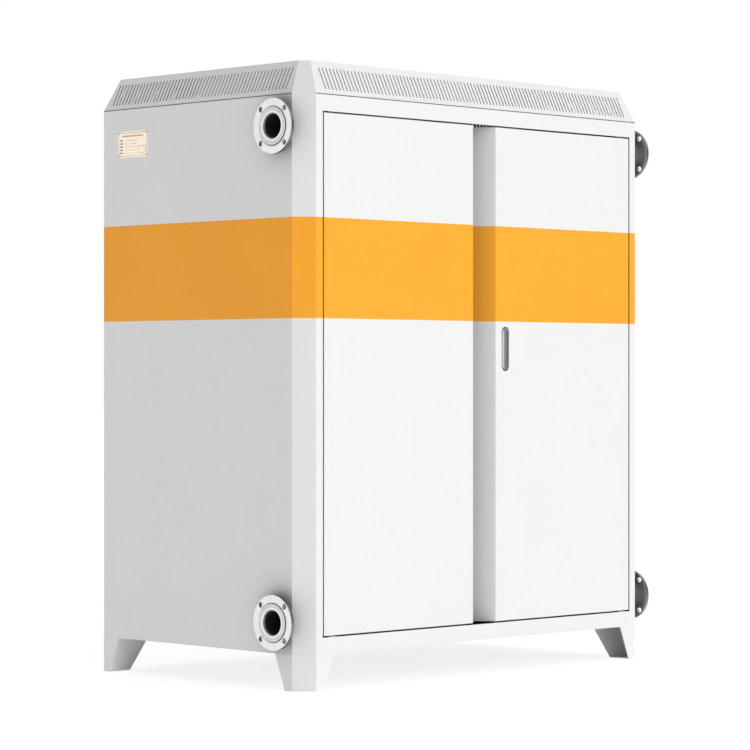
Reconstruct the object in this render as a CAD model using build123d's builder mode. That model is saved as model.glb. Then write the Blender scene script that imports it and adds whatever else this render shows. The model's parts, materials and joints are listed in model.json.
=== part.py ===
from build123d import *
import os
from math import atan2, degrees, hypot, sqrt

# Free-standing water boiler in a folded sheet cabinet, millimetres.
# Origin on the ground at the middle of the footprint, X to the right along the front,
# Y to the back, Z up. The doors are at the front, towards -Y.

# Cabinet
width = 1800.0
depth = 1116.0
leg_height = 125.0
body_top = 2042.0
corner_leg = 58.0
sheet = 2.0
lip = 3.0

# Slotted hood
hood_height = 118.0
hood_inset = 57.0
hood_corner_leg = 29.0
hood_joint = 3.0
slot_pitch = 17.3
slot_width = 4.2
slot_length = 85.0
slot_middle = 62.0
front_slot_margin = 104.0
side_slot_margin = 90.0
neck_inset = 10.0
neck_rise = 14.0
neck_drop = 40.0
bar_end_gap = 4.0

# Legs
leg_top_width = 143.0
leg_foot_width = 94.0
foot_plate = 3.0

# Door opening and doors
seam_inset = 93.0
seam_rise = 59.5
seam_drop = 61.0
door_gap = 5.8
jamb_depth = 25.0
door_depth = 22.0
groove_half = 60.0
groove_gap = 9.0
meeting_shift = 3.6
groove_lip = 26.0
pivot_inset = 40.0
pin_radius = 4.0
pin_clearance = 0.3
pin_reach = 12.0
pin_plate_length = 40.0
pin_plate_width = 13.0
pin_plate = 2.5
boss_wall = 2.7
fit_clearance = 0.15

# Flush pull on the right door
pull_inset = 52.0
pull_z = 1175.0
pull_width = 38.0
pull_height = 162.0
pull_depth = 20.0
pull_rim = 5.0
pull_wall = 2.0
pull_flange = 7.0

# Water headers and their flanges
supply_drop = 111.0
return_rise = 109.0
header_radius = 44.5
header_wall = 4.0
header_clearance = 7.4
header_post_gap = 5.5
header_hole_clearance = 1.5
flange_reach = 45.0
flange_radius = 96.0
flange_thickness = 14.0
raised_face = 2.0
raised_face_radius = 66.0
pipe_setback = 6.0
bolt_circle_radius = 82.5
bolt_hole_radius = 9.5
bolt_count = 4

# Space left round and between the boiler modules, and their stand
module_side_gap = 180.0
module_gap = 160.0
module_front_gap = 338.0
module_back_gap = 178.0
module_headroom = 632.0
module_edge = 30.0
base_sheet = 3.0
stand_height = 52.0
stand_width = 60.0
stand_inset = 70.0
stand_overhang = 40.0

# Pipes between the headers and the modules
branch_radius = 30.0
branch_bend = 90.0
branch_offset = 190.0
riser_setback = 160.0

# Burner and fan on each module
burner_radius = 150.0
burner_height = 120.0
burner_lead = 20.0
fan_radius = 120.0
fan_width = 110.0
motor_radius = 60.0
motor_length = 130.0

# Flue
flue_setback = 50.0
flue_drop_side = 110.0
flue_drop_setback = 60.0
flue_drop_length = 230.0
flue_duct_side = 200.0
collar_radius = 104.0
collar_wall = 3.0
collar_drop = 80.0
collar_rise = 80.0
roof_plate_side = 300.0
roof_plate_corner = 30.0

# Rating plate on the left side
plate_length = 167.0
plate_height = 95.0
plate_back_gap = 137.0
plate_drop = 80.5
plate_thickness = 1.0

# Derived places
half_width = width / 2
half_depth = depth / 2
front_y = -half_depth
height = body_top + hood_height
seam_bottom = leg_height + seam_rise
seam_top = body_top - seam_drop
octagon_rate = 2 - sqrt(2)
opening_half = half_width - seam_inset + door_gap / 2
opening_bottom = seam_bottom - door_gap / 2
opening_top = seam_top + door_gap / 2
door_edge = half_width - seam_inset - door_gap / 2
door_bottom = seam_bottom + door_gap / 2
door_top = seam_top - door_gap / 2
boss_side = 2 * (pin_radius + pin_clearance + boss_wall)
pivot_x = door_edge - pivot_inset
pivot_y = front_y + boss_side / 2
left_tip = groove_gap / 2 + meeting_shift
right_tip = groove_gap / 2 - meeting_shift
tip_y = front_y + groove_half - right_tip
pull_x = groove_half + pull_inset
post_lip_y = front_y + corner_leg + lip
header_y = max(tip_y + header_clearance, post_lip_y + header_post_gap) + header_radius
supply_z = body_top - supply_drop
return_z = leg_height + return_rise
flange_face = half_width + flange_reach
panel_top = body_top - hood_joint / 2
neck_bottom = body_top - neck_drop
neck_top = body_top + neck_rise
hood_slope = hypot(hood_inset, hood_height)
module_width = half_width - module_side_gap - module_gap / 2
module_depth = depth - module_front_gap - module_back_gap
module_spacing = module_width + module_gap
module_front = front_y + module_front_gap
module_back = half_depth - module_back_gap
module_y = (module_front + module_back) / 2
module_bottom = leg_height + base_sheet + stand_height
module_top = body_top - module_headroom
flue_y = module_back - flue_setback
flue_duct_bottom = module_top + flue_drop_length
plate_middle_y = half_depth - plate_back_gap - plate_length / 2
plate_middle_z = body_top - plate_drop - plate_height / 2

os.makedirs("parts", exist_ok=True)


def finish(part, name):
    """Labels one piece and writes it to its own file."""
    part.label = name
    export_step(part, f"parts/{name}.step")


def folded(points):
    """Profile of a folded sheet, with points on its outer face and the sheet on their left."""
    with BuildLine() as section:
        Polyline(*points)
        offset(amount=sheet, side=Side.LEFT, kind=Kind.INTERSECTION)
    make_face(section.edges())


# Side and back panels, flush with the folded corner posts
with BuildPart() as left_side_panel:
    with BuildSketch(Plane.YZ.offset(-half_width)):
        with Locations((0, (leg_height + panel_top) / 2)):
            Rectangle(depth - 2 * (corner_leg + lip), panel_top - leg_height)
        with Locations((header_y, supply_z), (header_y, return_z)):
            Circle(header_radius + header_hole_clearance, mode=Mode.SUBTRACT)
    extrude(amount=sheet)
finish(left_side_panel.part, "left_side_panel")

with BuildPart() as right_side_panel:
    mirror(left_side_panel.part, about=Plane.YZ)
finish(right_side_panel.part, "right_side_panel")

with BuildPart() as back_panel:
    with BuildSketch(Plane.XZ.offset(-half_depth)):
        with Locations((0, (leg_height + panel_top) / 2)):
            Rectangle(width - 2 * (corner_leg + lip), panel_top - leg_height)
    extrude(amount=sheet)
finish(back_panel.part, "back_panel")

# Corner posts: a folded chamfer with a stile at the front that turns in beside the doors
side_fold = (-half_width, front_y + corner_leg)
front_fold = (-half_width + corner_leg, front_y)

with BuildPart() as front_left_post:
    with BuildSketch(Plane.XY.offset(leg_height)):
        folded(
            [
                (-half_width, post_lip_y),
                side_fold,
                front_fold,
                (-opening_half, front_y),
                (-opening_half, front_y + jamb_depth),
            ]
        )
    extrude(amount=body_top - leg_height)
    with BuildSketch(Plane.XY.offset(panel_top)):
        with Locations(front_fold):
            Rectangle(seam_inset, 2 * jamb_depth + 1, align=(Align.MIN, Align.CENTER))
        with Locations(side_fold):
            Rectangle(2 * lip, 2 * lip, align=(Align.CENTER, Align.MIN))
    extrude(amount=hood_joint, mode=Mode.SUBTRACT)
    jamb_tray_notch = Plane.XY.offset(leg_height)
    jamb_neck_notch = Plane.XY.offset(neck_bottom)
    for notch, rise in ((jamb_tray_notch, base_sheet), (jamb_neck_notch, neck_drop)):
        with BuildSketch(notch):
            with Locations((-opening_half, front_y + sheet)):
                Rectangle(3 * sheet, jamb_depth, align=(Align.CENTER, Align.MIN))
        extrude(amount=rise, mode=Mode.SUBTRACT)
finish(front_left_post.part, "front_left_post")

with BuildPart() as front_right_post:
    mirror(front_left_post.part, about=Plane.YZ)
finish(front_right_post.part, "front_right_post")

with BuildPart() as back_left_post:
    with BuildSketch(Plane.XY.offset(leg_height)):
        folded(
            [
                (-half_width + corner_leg + lip, half_depth),
                (-half_width + corner_leg, half_depth),
                (-half_width, half_depth - corner_leg),
                (-half_width, half_depth - corner_leg - lip),
            ]
        )
    extrude(amount=body_top - leg_height)
    with BuildSketch(Plane.XY.offset(panel_top)):
        with Locations((-half_width + corner_leg, half_depth)):
            Rectangle(2 * lip, 2 * lip, align=(Align.MIN, Align.CENTER))
        with Locations((-half_width, half_depth - corner_leg)):
            Rectangle(2 * lip, 2 * lip, align=(Align.CENTER, Align.MAX))
    extrude(amount=hood_joint, mode=Mode.SUBTRACT)
finish(back_left_post.part, "back_left_post")

with BuildPart() as back_right_post:
    mirror(back_left_post.part, about=Plane.YZ)
finish(back_right_post.part, "back_right_post")

# Rails over and under the doors, each with a lip that turns in and carries the pivot pins
with BuildPart() as front_top_rail:
    with BuildSketch(Plane.YZ.offset(-opening_half)):
        folded(
            [
                (front_y, panel_top),
                (front_y, opening_top),
                (front_y + jamb_depth, opening_top),
            ]
        )
    extrude(amount=2 * opening_half)
finish(front_top_rail.part, "front_top_rail")

with BuildPart() as front_bottom_rail:
    with BuildSketch(Plane.YZ.offset(-opening_half)):
        folded(
            [
                (front_y + jamb_depth, opening_bottom),
                (front_y, opening_bottom),
                (front_y, leg_height),
            ]
        )
    extrude(amount=2 * opening_half)
finish(front_bottom_rail.part, "front_bottom_rail")

# Base tray that carries the modules
with BuildPart() as base_tray:
    with BuildSketch(Plane.XY.offset(leg_height)):
        tray = Rectangle(width - 2 * sheet, depth - 2 * sheet)
        chamfer(tray.vertices(), length=corner_leg - sheet * octagon_rate)
    extrude(amount=base_sheet)
finish(base_tray.part, "base_tray")


# Legs: the corner's sheet carried down and tapered, with a return across the cabinet,
# open towards the middle, and a plate at the foot and at the head
front_taper = Plane(
    origin=(-half_width + leg_foot_width, front_y, 0),
    z_dir=(leg_height, 0, leg_foot_width - leg_top_width),
)
side_taper = Plane(
    origin=(-half_width, front_y + leg_foot_width, 0),
    z_dir=(0, leg_height, leg_foot_width - leg_top_width),
)
leg_outline = [
    (-half_width, front_y + leg_top_width),
    side_fold,
    front_fold,
    (-half_width + leg_top_width, front_y),
]
leg_inner_corner = (-half_width + leg_top_width, front_y + leg_top_width)


def leg_slab(bottom, thickness):
    """Slab over a leg's whole plan."""
    with BuildSketch(Plane.XY.offset(bottom)) as plan:
        with BuildLine():
            Polyline(*leg_outline, leg_inner_corner, close=True)
        make_face()
    extrude(plan.sketch, amount=thickness)


with BuildPart() as leg_return:
    leg_slab(0, leg_height)
    split(bisect_by=side_taper.offset(-sheet), keep=Keep.TOP)

with BuildPart() as front_left_leg:
    with BuildSketch():
        folded(leg_outline)
    extrude(amount=leg_height)
    add(leg_return.part)
    leg_slab(0, foot_plate)
    leg_slab(leg_height - foot_plate, foot_plate)
    split(bisect_by=front_taper, keep=Keep.BOTTOM)
    split(bisect_by=side_taper, keep=Keep.BOTTOM)
finish(front_left_leg.part, "front_left_leg")

with BuildPart() as front_right_leg:
    mirror(front_left_leg.part, about=Plane.YZ)
finish(front_right_leg.part, "front_right_leg")

with BuildPart() as back_left_leg:
    mirror(front_left_leg.part, about=Plane.XZ)
finish(back_left_leg.part, "back_left_leg")

with BuildPart() as back_right_leg:
    mirror(back_left_leg.part, about=Plane.YZ)
finish(back_right_leg.part, "back_right_leg")

# Neck of four angle bars that carries the hood above a shadow joint
with BuildPart() as hood_neck:
    for turned, length, reach in ((0, width, half_depth), (90, depth, half_width)):
        run = length - 2 * (corner_leg + neck_inset + bar_end_gap)
        for flip in (0, 180):
            with BuildSketch(Plane.YZ.rotated((0, 0, turned + flip)).offset(-run / 2)):
                with BuildLine():
                    Polyline(
                        (sheet - reach, neck_bottom),
                        (neck_inset + sheet - reach, neck_bottom),
                        (neck_inset + sheet - reach, neck_top),
                        (neck_inset - reach, neck_top),
                        (neck_inset - reach, neck_bottom + sheet),
                        (sheet - reach, neck_bottom + sheet),
                        close=True,
                    )
                make_face()
            extrude(amount=run)
finish(hood_neck.part, "hood_neck")

# Hood: a sheet frustum cut along its folds into four slotted faces and four corner facets
hood_taper = degrees(atan2(hood_inset, hood_height))
facet_rate = (2 * hood_inset + hood_corner_leg - corner_leg) / hood_height


def hood_frustum(wall):
    """Outer form of the hood, or its inner form at a wall thickness from the outer one."""
    side_shift = wall * hood_slope / hood_height
    corner_shift = wall * hypot(1, 1, facet_rate)
    with BuildPart() as frustum:
        with BuildSketch(Plane.XY.offset(body_top)):
            Rectangle(width - 2 * side_shift, depth - 2 * side_shift)
        extrude(amount=hood_height, taper=hood_taper)
        for across, along in ((1, 1), (1, -1), (-1, 1), (-1, -1)):
            corner = (
                across * (half_width - corner_leg / 2 - corner_shift / 2),
                along * (half_depth - corner_leg / 2 - corner_shift / 2),
                body_top,
            )
            facet = Plane(origin=corner, z_dir=(across, along, facet_rate))
            split(bisect_by=facet, keep=Keep.BOTTOM)
    return frustum.part


hood_form = hood_frustum(0)

with BuildPart() as hood_shell:
    add(hood_form)
    add(hood_frustum(sheet), mode=Mode.SUBTRACT)
    split(bisect_by=Plane.XY.offset(height - sheet), keep=Keep.BOTTOM)

# Upright planes through the folds beside the front left facet, facing away from it
fold_shift = hood_inset + hood_corner_leg - corner_leg
front_fold_cut = Plane(
    origin=(-half_width + corner_leg, front_y, body_top),
    z_dir=(hood_inset, -fold_shift, 0),
)
side_fold_cut = Plane(
    origin=(-half_width, front_y + corner_leg, body_top),
    z_dir=(-fold_shift, hood_inset, 0),
)
panel_foot_cut = Plane.XY.offset(body_top + hood_joint / 2)


def slot_row(face, run):
    """Row of as many narrow slots as fit in a run, straight up a sloping face."""
    count = int(run / slot_pitch)
    with BuildSketch(face) as row:
        with Locations((0, slot_middle)):
            with GridLocations(slot_pitch, 1, count, 1):
                Rectangle(slot_width, slot_length)
    extrude(row.sketch, amount=2 * sheet, both=True, mode=Mode.SUBTRACT)


with BuildPart() as half_front:
    add(hood_shell.part)
    split(bisect_by=front_fold_cut, keep=Keep.TOP)
    split(bisect_by=Plane.YZ, keep=Keep.BOTTOM)
    split(bisect_by=Plane.XZ, keep=Keep.TOP)
    split(bisect_by=panel_foot_cut, keep=Keep.TOP)

with BuildPart() as hood_front_panel:
    add(half_front.part)
    mirror(half_front.part, about=Plane.YZ)
    slot_row(
        Plane(
            origin=(0, front_y, body_top),
            x_dir=(1, 0, 0),
            z_dir=(0, -hood_height, hood_inset),
        ),
        width - 2 * front_slot_margin,
    )
finish(hood_front_panel.part, "hood_front_panel")

with BuildPart() as hood_back_panel:
    mirror(hood_front_panel.part, about=Plane.XZ)
finish(hood_back_panel.part, "hood_back_panel")

with BuildPart() as half_side:
    add(hood_shell.part)
    split(bisect_by=side_fold_cut, keep=Keep.TOP)
    split(bisect_by=Plane.XZ, keep=Keep.TOP)
    split(bisect_by=Plane.YZ, keep=Keep.BOTTOM)
    split(bisect_by=panel_foot_cut, keep=Keep.TOP)

with BuildPart() as hood_left_panel:
    add(half_side.part)
    mirror(half_side.part, about=Plane.XZ)
    slot_row(
        Plane(
            origin=(-half_width, 0, body_top),
            x_dir=(0, -1, 0),
            z_dir=(-hood_height, 0, hood_inset),
        ),
        depth - 2 * side_slot_margin,
    )
finish(hood_left_panel.part, "hood_left_panel")

with BuildPart() as hood_right_panel:
    mirror(hood_left_panel.part, about=Plane.YZ)
finish(hood_right_panel.part, "hood_right_panel")

with BuildPart() as hood_front_left_facet:
    add(hood_shell.part)
    split(bisect_by=front_fold_cut, keep=Keep.BOTTOM)
    split(bisect_by=side_fold_cut, keep=Keep.BOTTOM)
finish(hood_front_left_facet.part, "hood_front_left_facet")

with BuildPart() as hood_front_right_facet:
    mirror(hood_front_left_facet.part, about=Plane.YZ)
finish(hood_front_right_facet.part, "hood_front_right_facet")

with BuildPart() as hood_back_left_facet:
    mirror(hood_front_left_facet.part, about=Plane.XZ)
finish(hood_back_left_facet.part, "hood_back_left_facet")

with BuildPart() as hood_back_right_facet:
    mirror(hood_back_left_facet.part, about=Plane.YZ)
finish(hood_back_right_facet.part, "hood_back_right_facet")

with BuildPart() as hood_top:
    add(hood_form)
    split(bisect_by=Plane.XY.offset(height - sheet), keep=Keep.TOP)
    with Locations((0, flue_y, height)):
        Hole(collar_radius + fit_clearance)
finish(hood_top.part, "hood_top")


# Doors: skins folded round the opening side, the centre groove and a stiffening lip.
# They meet a little left of the middle, so that the right door backs the whole groove.
def door_outline(tip):
    """Outer face of a left-hand door in plan, with its groove return ending at a tip."""
    return [
        (-door_edge, front_y + door_depth),
        (-door_edge, front_y),
        (-groove_half, front_y),
        (-tip, front_y + groove_half - tip),
        (-tip - groove_lip, front_y + groove_half - tip),
    ]


def door_shell(outline):
    """Folded skin, end plates and bored pivot bosses of a left-hand door."""
    with BuildSketch(Plane.XY.offset(door_bottom)) as skin:
        folded(outline)
    extrude(skin.sketch, amount=door_top - door_bottom)
    with BuildSketch(Plane.XY.offset(door_bottom), Plane.XY.offset(door_top - sheet)) as ends:
        with BuildLine():
            Polyline(*outline, (-groove_half, front_y + door_depth), close=True)
        make_face()
    extrude(ends.sketch, amount=sheet)
    boss_planes = (Plane.XY.offset(door_bottom), Plane.XY.offset(door_top - pin_reach))
    with BuildSketch(*boss_planes) as bosses:
        with Locations((-pivot_x, pivot_y)):
            Rectangle(boss_side, boss_side)
    extrude(bosses.sketch, amount=pin_reach)
    with BuildSketch(Plane.XY.offset(door_bottom)) as bore:
        with Locations((-pivot_x, pivot_y)):
            Circle(pin_radius + pin_clearance)
    extrude(bore.sketch, amount=door_top - door_bottom, mode=Mode.SUBTRACT)


with BuildPart() as left_door:
    door_shell(door_outline(left_tip))
finish(left_door.part, "left_door")

with BuildPart() as right_door_blank:
    door_shell(door_outline(right_tip))

with BuildPart() as right_door:
    mirror(right_door_blank.part, about=Plane.YZ)
    with BuildSketch(Plane.XZ.offset(half_depth)):
        with Locations((pull_x, pull_z)):
            SlotOverall(pull_height + 2 * fit_clearance, pull_width + 2 * fit_clearance, rotation=90)
    extrude(amount=-sheet, mode=Mode.SUBTRACT)
finish(right_door.part, "right_door")

# Flush pull: a cast cup with a broad rim and a flange behind the door's skin
with BuildPart() as door_pull:
    with BuildSketch(Plane.XZ.offset(half_depth)):
        with Locations((pull_x, pull_z)):
            SlotOverall(pull_height, pull_width, rotation=90)
    extrude(amount=-pull_depth)
    with BuildSketch(Plane.XZ.offset(half_depth - sheet)):
        with Locations((pull_x, pull_z)):
            SlotOverall(pull_height + 2 * pull_flange, pull_width + 2 * pull_flange, rotation=90)
    extrude(amount=-pull_wall)
    with BuildSketch(Plane.XZ.offset(half_depth)):
        with Locations((pull_x, pull_z)):
            SlotOverall(pull_height - 2 * pull_rim, pull_width - 2 * pull_rim, rotation=90)
    extrude(amount=pull_wall - pull_depth, mode=Mode.SUBTRACT)
finish(door_pull.part, "door_pull")

# Pivot pins, each on a plate under or over a rail's lip and turning in a door's boss
with BuildPart() as pivot_pins:
    pin_places = [(-pivot_x, pivot_y), (pivot_x, pivot_y)]
    with BuildSketch(Plane.XY.offset(opening_top - pin_plate), Plane.XY.offset(opening_bottom)):
        with Locations(*pin_places):
            Rectangle(pin_plate_length, pin_plate_width)
    extrude(amount=pin_plate)
    pin_length = door_gap + pin_reach - sheet / 2
    with BuildSketch(Plane.XY.offset(opening_top - pin_length), Plane.XY.offset(opening_bottom)):
        with Locations(*pin_places):
            Circle(pin_radius)
    extrude(amount=pin_length)
finish(pivot_pins.part, "pivot_pins")


# Water headers that cross the cabinet behind the doors, with a slip-on flange at each end
def header_pipe(level):
    """Plain tube from side to side at one level."""
    with BuildSketch(Plane.YZ.offset(pipe_setback - flange_face)) as ring:
        with Locations((header_y, level)):
            Circle(header_radius)
            Circle(header_radius - header_wall, mode=Mode.SUBTRACT)
    extrude(ring.sketch, amount=2 * (flange_face - pipe_setback))


with BuildPart() as supply_header:
    header_pipe(supply_z)
finish(supply_header.part, "supply_header")

with BuildPart() as return_header:
    header_pipe(return_z)
finish(return_header.part, "return_header")


def slip_on_flange(level):
    """Flange on the left side with its raised face and with bolt holes between the axes."""
    back = Plane(
        origin=(flange_thickness - flange_face, header_y, level),
        x_dir=(0, -1, 0),
        z_dir=(-1, 0, 0),
    )
    with BuildSketch(back) as disc:
        Circle(flange_radius)
        Circle(header_radius + fit_clearance, mode=Mode.SUBTRACT)
        with PolarLocations(bolt_circle_radius, bolt_count, start_angle=180 / bolt_count):
            Circle(bolt_hole_radius, mode=Mode.SUBTRACT)
    extrude(disc.sketch, amount=flange_thickness - raised_face)
    with BuildSketch(back.offset(flange_thickness - raised_face)) as face:
        Circle(raised_face_radius)
        Circle(header_radius + fit_clearance, mode=Mode.SUBTRACT)
    extrude(face.sketch, amount=raised_face)


with BuildPart() as left_flanges:
    slip_on_flange(supply_z)
    slip_on_flange(return_z)
finish(left_flanges.part, "left_flanges")

with BuildPart() as right_flanges:
    mirror(left_flanges.part, about=Plane.YZ)
finish(right_flanges.part, "right_flanges")

# Boiler modules in rounded jackets, side by side on a stand of channel bars
with BuildPart() as left_module:
    with BuildSketch(Plane.XY.offset(module_bottom)):
        with Locations((-module_spacing / 2, module_y)):
            RectangleRounded(module_width, module_depth, module_edge)
    extrude(amount=module_top - module_bottom)
finish(left_module.part, "left_module")

with BuildPart() as right_module:
    mirror(left_module.part, about=Plane.YZ)
finish(right_module.part, "right_module")

with BuildPart() as module_stand:
    tray_top = leg_height + base_sheet
    bar_run = module_spacing + module_width + 2 * stand_overhang
    bar_spread = module_depth - 2 * stand_inset
    with BuildSketch(Plane.YZ.offset(-bar_run / 2)):
        with Locations((module_y, (tray_top + module_bottom) / 2)):
            with GridLocations(bar_spread, 1, 2, 1):
                Rectangle(stand_width, module_bottom - tray_top)
    extrude(amount=bar_run)
finish(module_stand.part, "module_stand")


# Branch pipes: a mitred one from each module up to the supply header, a straight one below
branch_x = -module_spacing / 2 - branch_offset
riser_y = module_front + riser_setback


def saddle_cut(level):
    """Hollow that seats a branch on the round of a header."""
    with BuildSketch(Plane.YZ.offset(branch_x)) as round_cut:
        with Locations((header_y, level)):
            Circle(header_radius + fit_clearance)
    extrude(round_cut.sketch, amount=2 * branch_radius, both=True, mode=Mode.SUBTRACT)


with BuildPart() as left_supply_branch:
    with BuildLine() as route:
        Polyline(
            (branch_x, riser_y, module_top),
            (branch_x, riser_y, supply_z - branch_bend),
            (branch_x, riser_y - branch_bend, supply_z),
            (branch_x, header_y, supply_z),
        )
    with BuildSketch(Plane.XY.offset(module_top)):
        with Locations((branch_x, riser_y)):
            Circle(branch_radius)
    sweep(path=route.wire(), transition=Transition.RIGHT)
    saddle_cut(supply_z)

with BuildPart() as supply_branches:
    add(left_supply_branch.part)
    mirror(left_supply_branch.part, about=Plane.YZ)
finish(supply_branches.part, "supply_branches")

with BuildPart() as left_return_branch:
    with BuildSketch(Plane.XZ.offset(-module_front)):
        with Locations((branch_x, return_z)):
            Circle(branch_radius)
    extrude(amount=module_front - header_y)
    saddle_cut(return_z)

with BuildPart() as return_branches:
    add(left_return_branch.part)
    mirror(left_return_branch.part, about=Plane.YZ)
finish(return_branches.part, "return_branches")

# Burner drum on each module, with its fan and motor on top
burner_y = module_y - burner_lead
fan_z = module_top + burner_height + fan_radius

with BuildPart() as left_burner:
    with BuildSketch(Plane.XY.offset(module_top)):
        with Locations((-module_spacing / 2, burner_y)):
            Circle(burner_radius)
    extrude(amount=burner_height)
    with BuildSketch(Plane.YZ.offset(-module_spacing / 2 - fan_width / 2)):
        with Locations((burner_y, fan_z)):
            Circle(fan_radius)
        with Locations((burner_y, fan_z - fan_radius)):
            Rectangle(fan_radius, 2 * fan_radius, align=(Align.MAX, Align.CENTER))
    extrude(amount=fan_width)
    with BuildSketch(Plane.YZ.offset(-module_spacing / 2 + fan_width / 2)):
        with Locations((burner_y, fan_z)):
            Circle(motor_radius)
    extrude(amount=motor_length)
finish(left_burner.part, "left_burner")

with BuildPart() as right_burner:
    mirror(left_burner.part, about=Plane.YZ)
finish(right_burner.part, "right_burner")

# Flue: a square duct from each module to a cross duct, and a riser to the collar in the roof
collar_bottom = height - collar_drop

with BuildPart() as flue_duct:
    with BuildSketch(Plane.XY.offset(flue_duct_bottom)):
        with Locations((0, flue_y)):
            Rectangle(module_spacing + flue_duct_side, flue_duct_side)
    extrude(amount=flue_duct_side)
    with BuildSketch(Plane.XY.offset(module_top)):
        with Locations((0, module_back - flue_drop_setback)):
            with GridLocations(module_spacing, 1, 2, 1):
                Rectangle(flue_drop_side, flue_drop_side)
    extrude(amount=flue_duct_bottom - module_top)
    with BuildSketch(Plane.XY.offset(flue_duct_bottom + flue_duct_side)):
        with Locations((0, flue_y)):
            Circle(collar_radius)
    extrude(amount=collar_bottom - flue_duct_bottom - flue_duct_side)
finish(flue_duct.part, "flue_duct")

with BuildPart() as flue_collar:
    with BuildSketch(Plane.XY.offset(collar_bottom)):
        with Locations((0, flue_y)):
            Circle(collar_radius)
            Circle(collar_radius - collar_wall, mode=Mode.SUBTRACT)
    extrude(amount=height + collar_rise - collar_bottom)
finish(flue_collar.part, "flue_collar")

with BuildPart() as collar_flange:
    with BuildSketch(Plane.XY.offset(height)):
        with Locations((0, flue_y)):
            roof_plate = Rectangle(roof_plate_side, roof_plate_side)
            chamfer(roof_plate.vertices(), length=roof_plate_corner)
            Circle(collar_radius + fit_clearance, mode=Mode.SUBTRACT)
    extrude(amount=sheet)
finish(collar_flange.part, "collar_flange")

# Rating plate on the left side
with BuildPart() as rating_plate:
    with BuildSketch(Plane.YZ.offset(-half_width - plate_thickness)):
        with Locations((plate_middle_y, plate_middle_z)):
            Rectangle(plate_length, plate_height)
    extrude(amount=plate_thickness)
finish(rating_plate.part, "rating_plate")
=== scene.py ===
# %% [markdown]
# # A cabinet water boiler, finished for its picture
# The boiler's construction comes in as a fixed frame: every panel, door, flange and pipe stands
# at its real size, in metres, with Z up and the doors facing -Y. This lesson adds what the eye
# looks for: paint, turned steel, weld beads, screws and the machinery behind the doors.
# The sizes below are read from the frame wherever a piece has to meet another one.

# %% Load the frame
import bpy
import bmesh
import json
from math import cos, pi, radians, sin, sqrt
from mathutils import Matrix, Vector


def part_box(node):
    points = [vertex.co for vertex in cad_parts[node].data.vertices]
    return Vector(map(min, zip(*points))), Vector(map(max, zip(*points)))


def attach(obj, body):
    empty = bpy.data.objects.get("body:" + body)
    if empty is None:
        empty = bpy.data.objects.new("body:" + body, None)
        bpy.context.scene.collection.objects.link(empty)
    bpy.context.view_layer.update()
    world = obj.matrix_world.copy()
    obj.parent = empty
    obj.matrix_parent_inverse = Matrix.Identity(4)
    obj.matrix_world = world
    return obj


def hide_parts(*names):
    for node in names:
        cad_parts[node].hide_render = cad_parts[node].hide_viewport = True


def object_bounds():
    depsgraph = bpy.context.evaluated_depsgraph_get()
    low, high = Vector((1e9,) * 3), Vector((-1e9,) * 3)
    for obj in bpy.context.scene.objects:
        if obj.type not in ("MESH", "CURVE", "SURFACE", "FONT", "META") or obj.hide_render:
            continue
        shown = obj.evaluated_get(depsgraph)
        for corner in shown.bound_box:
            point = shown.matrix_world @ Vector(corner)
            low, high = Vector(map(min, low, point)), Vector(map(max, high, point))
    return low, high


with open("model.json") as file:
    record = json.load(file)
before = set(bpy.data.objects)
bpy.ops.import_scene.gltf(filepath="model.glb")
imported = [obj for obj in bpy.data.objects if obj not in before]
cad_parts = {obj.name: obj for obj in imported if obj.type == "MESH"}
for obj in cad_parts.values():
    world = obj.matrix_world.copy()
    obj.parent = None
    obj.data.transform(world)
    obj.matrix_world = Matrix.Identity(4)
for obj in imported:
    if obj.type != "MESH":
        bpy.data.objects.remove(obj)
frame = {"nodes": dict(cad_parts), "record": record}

cad_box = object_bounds()

# %% [markdown]
# ## The camera
# The photographer stood level with the middle of the cabinet, turned almost 45 degrees to the
# front, far away with a long lens. A long lens keeps the upright edges upright and the two
# visible sides calm. The camera could be aimed with a constraint, but plain numbers are easier
# to read and to repeat, so its place, turn and lens are written down.

# %% Camera
CAMERA_PLACE = (-7.8168, -7.8293, 1.0802)
CAMERA_TURN = -44.951
CAMERA_LENS = 141.78


def make_camera():
    data = bpy.data.cameras.new("long_lens")
    data.lens = CAMERA_LENS
    data.sensor_width = 36
    camera = bpy.data.objects.new("long_lens", data)
    camera.location = CAMERA_PLACE
    camera.rotation_euler = (radians(90), 0, radians(CAMERA_TURN))
    bpy.context.scene.collection.objects.link(camera)
    bpy.context.scene.camera = camera
    return camera


camera = make_camera()
print("camera lens", camera.data.lens, "mm")

# %% [markdown]
# ## Shader nodes in one line each
# Every finish here is procedural: it is worked out from the place of a point on the object, so
# it stays sharp at any distance and needs no picture file. Building node trees by hand in
# Python is wordy. One small helper that adds a node, sets it up and wires its inputs keeps
# each finish short enough to read like a recipe.

# %% Node helpers
def node(tree, kind, inputs=None, **settings):
    """Adds a shader node. An input is a number, a colour or another node's output."""
    made = tree.nodes.new("ShaderNode" + kind)
    for setting, value in settings.items():
        setattr(made, setting, value)
    for socket, value in (inputs or {}).items():
        if isinstance(value, bpy.types.NodeSocket):
            tree.links.new(value, made.inputs[socket])
        else:
            made.inputs[socket].default_value = value
    return made


def maths(tree, operation, *values):
    """Adds a Math node and gives its result."""
    inputs = dict(enumerate(values))
    return node(tree, "Math", inputs, operation=operation).outputs[0]


def vectors(tree, operation, inputs, output="Vector"):
    """Adds a Vector Math node and gives its result."""
    return node(tree, "VectorMath", inputs, operation=operation).outputs[output]


def blank_material(name):
    material = bpy.data.materials.new(name)
    material.use_nodes = True
    tree = material.node_tree
    return material, tree, tree.nodes["Principled BSDF"]


def place_on_object(tree):
    return node(tree, "TexCoord").outputs["Object"]


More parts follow.
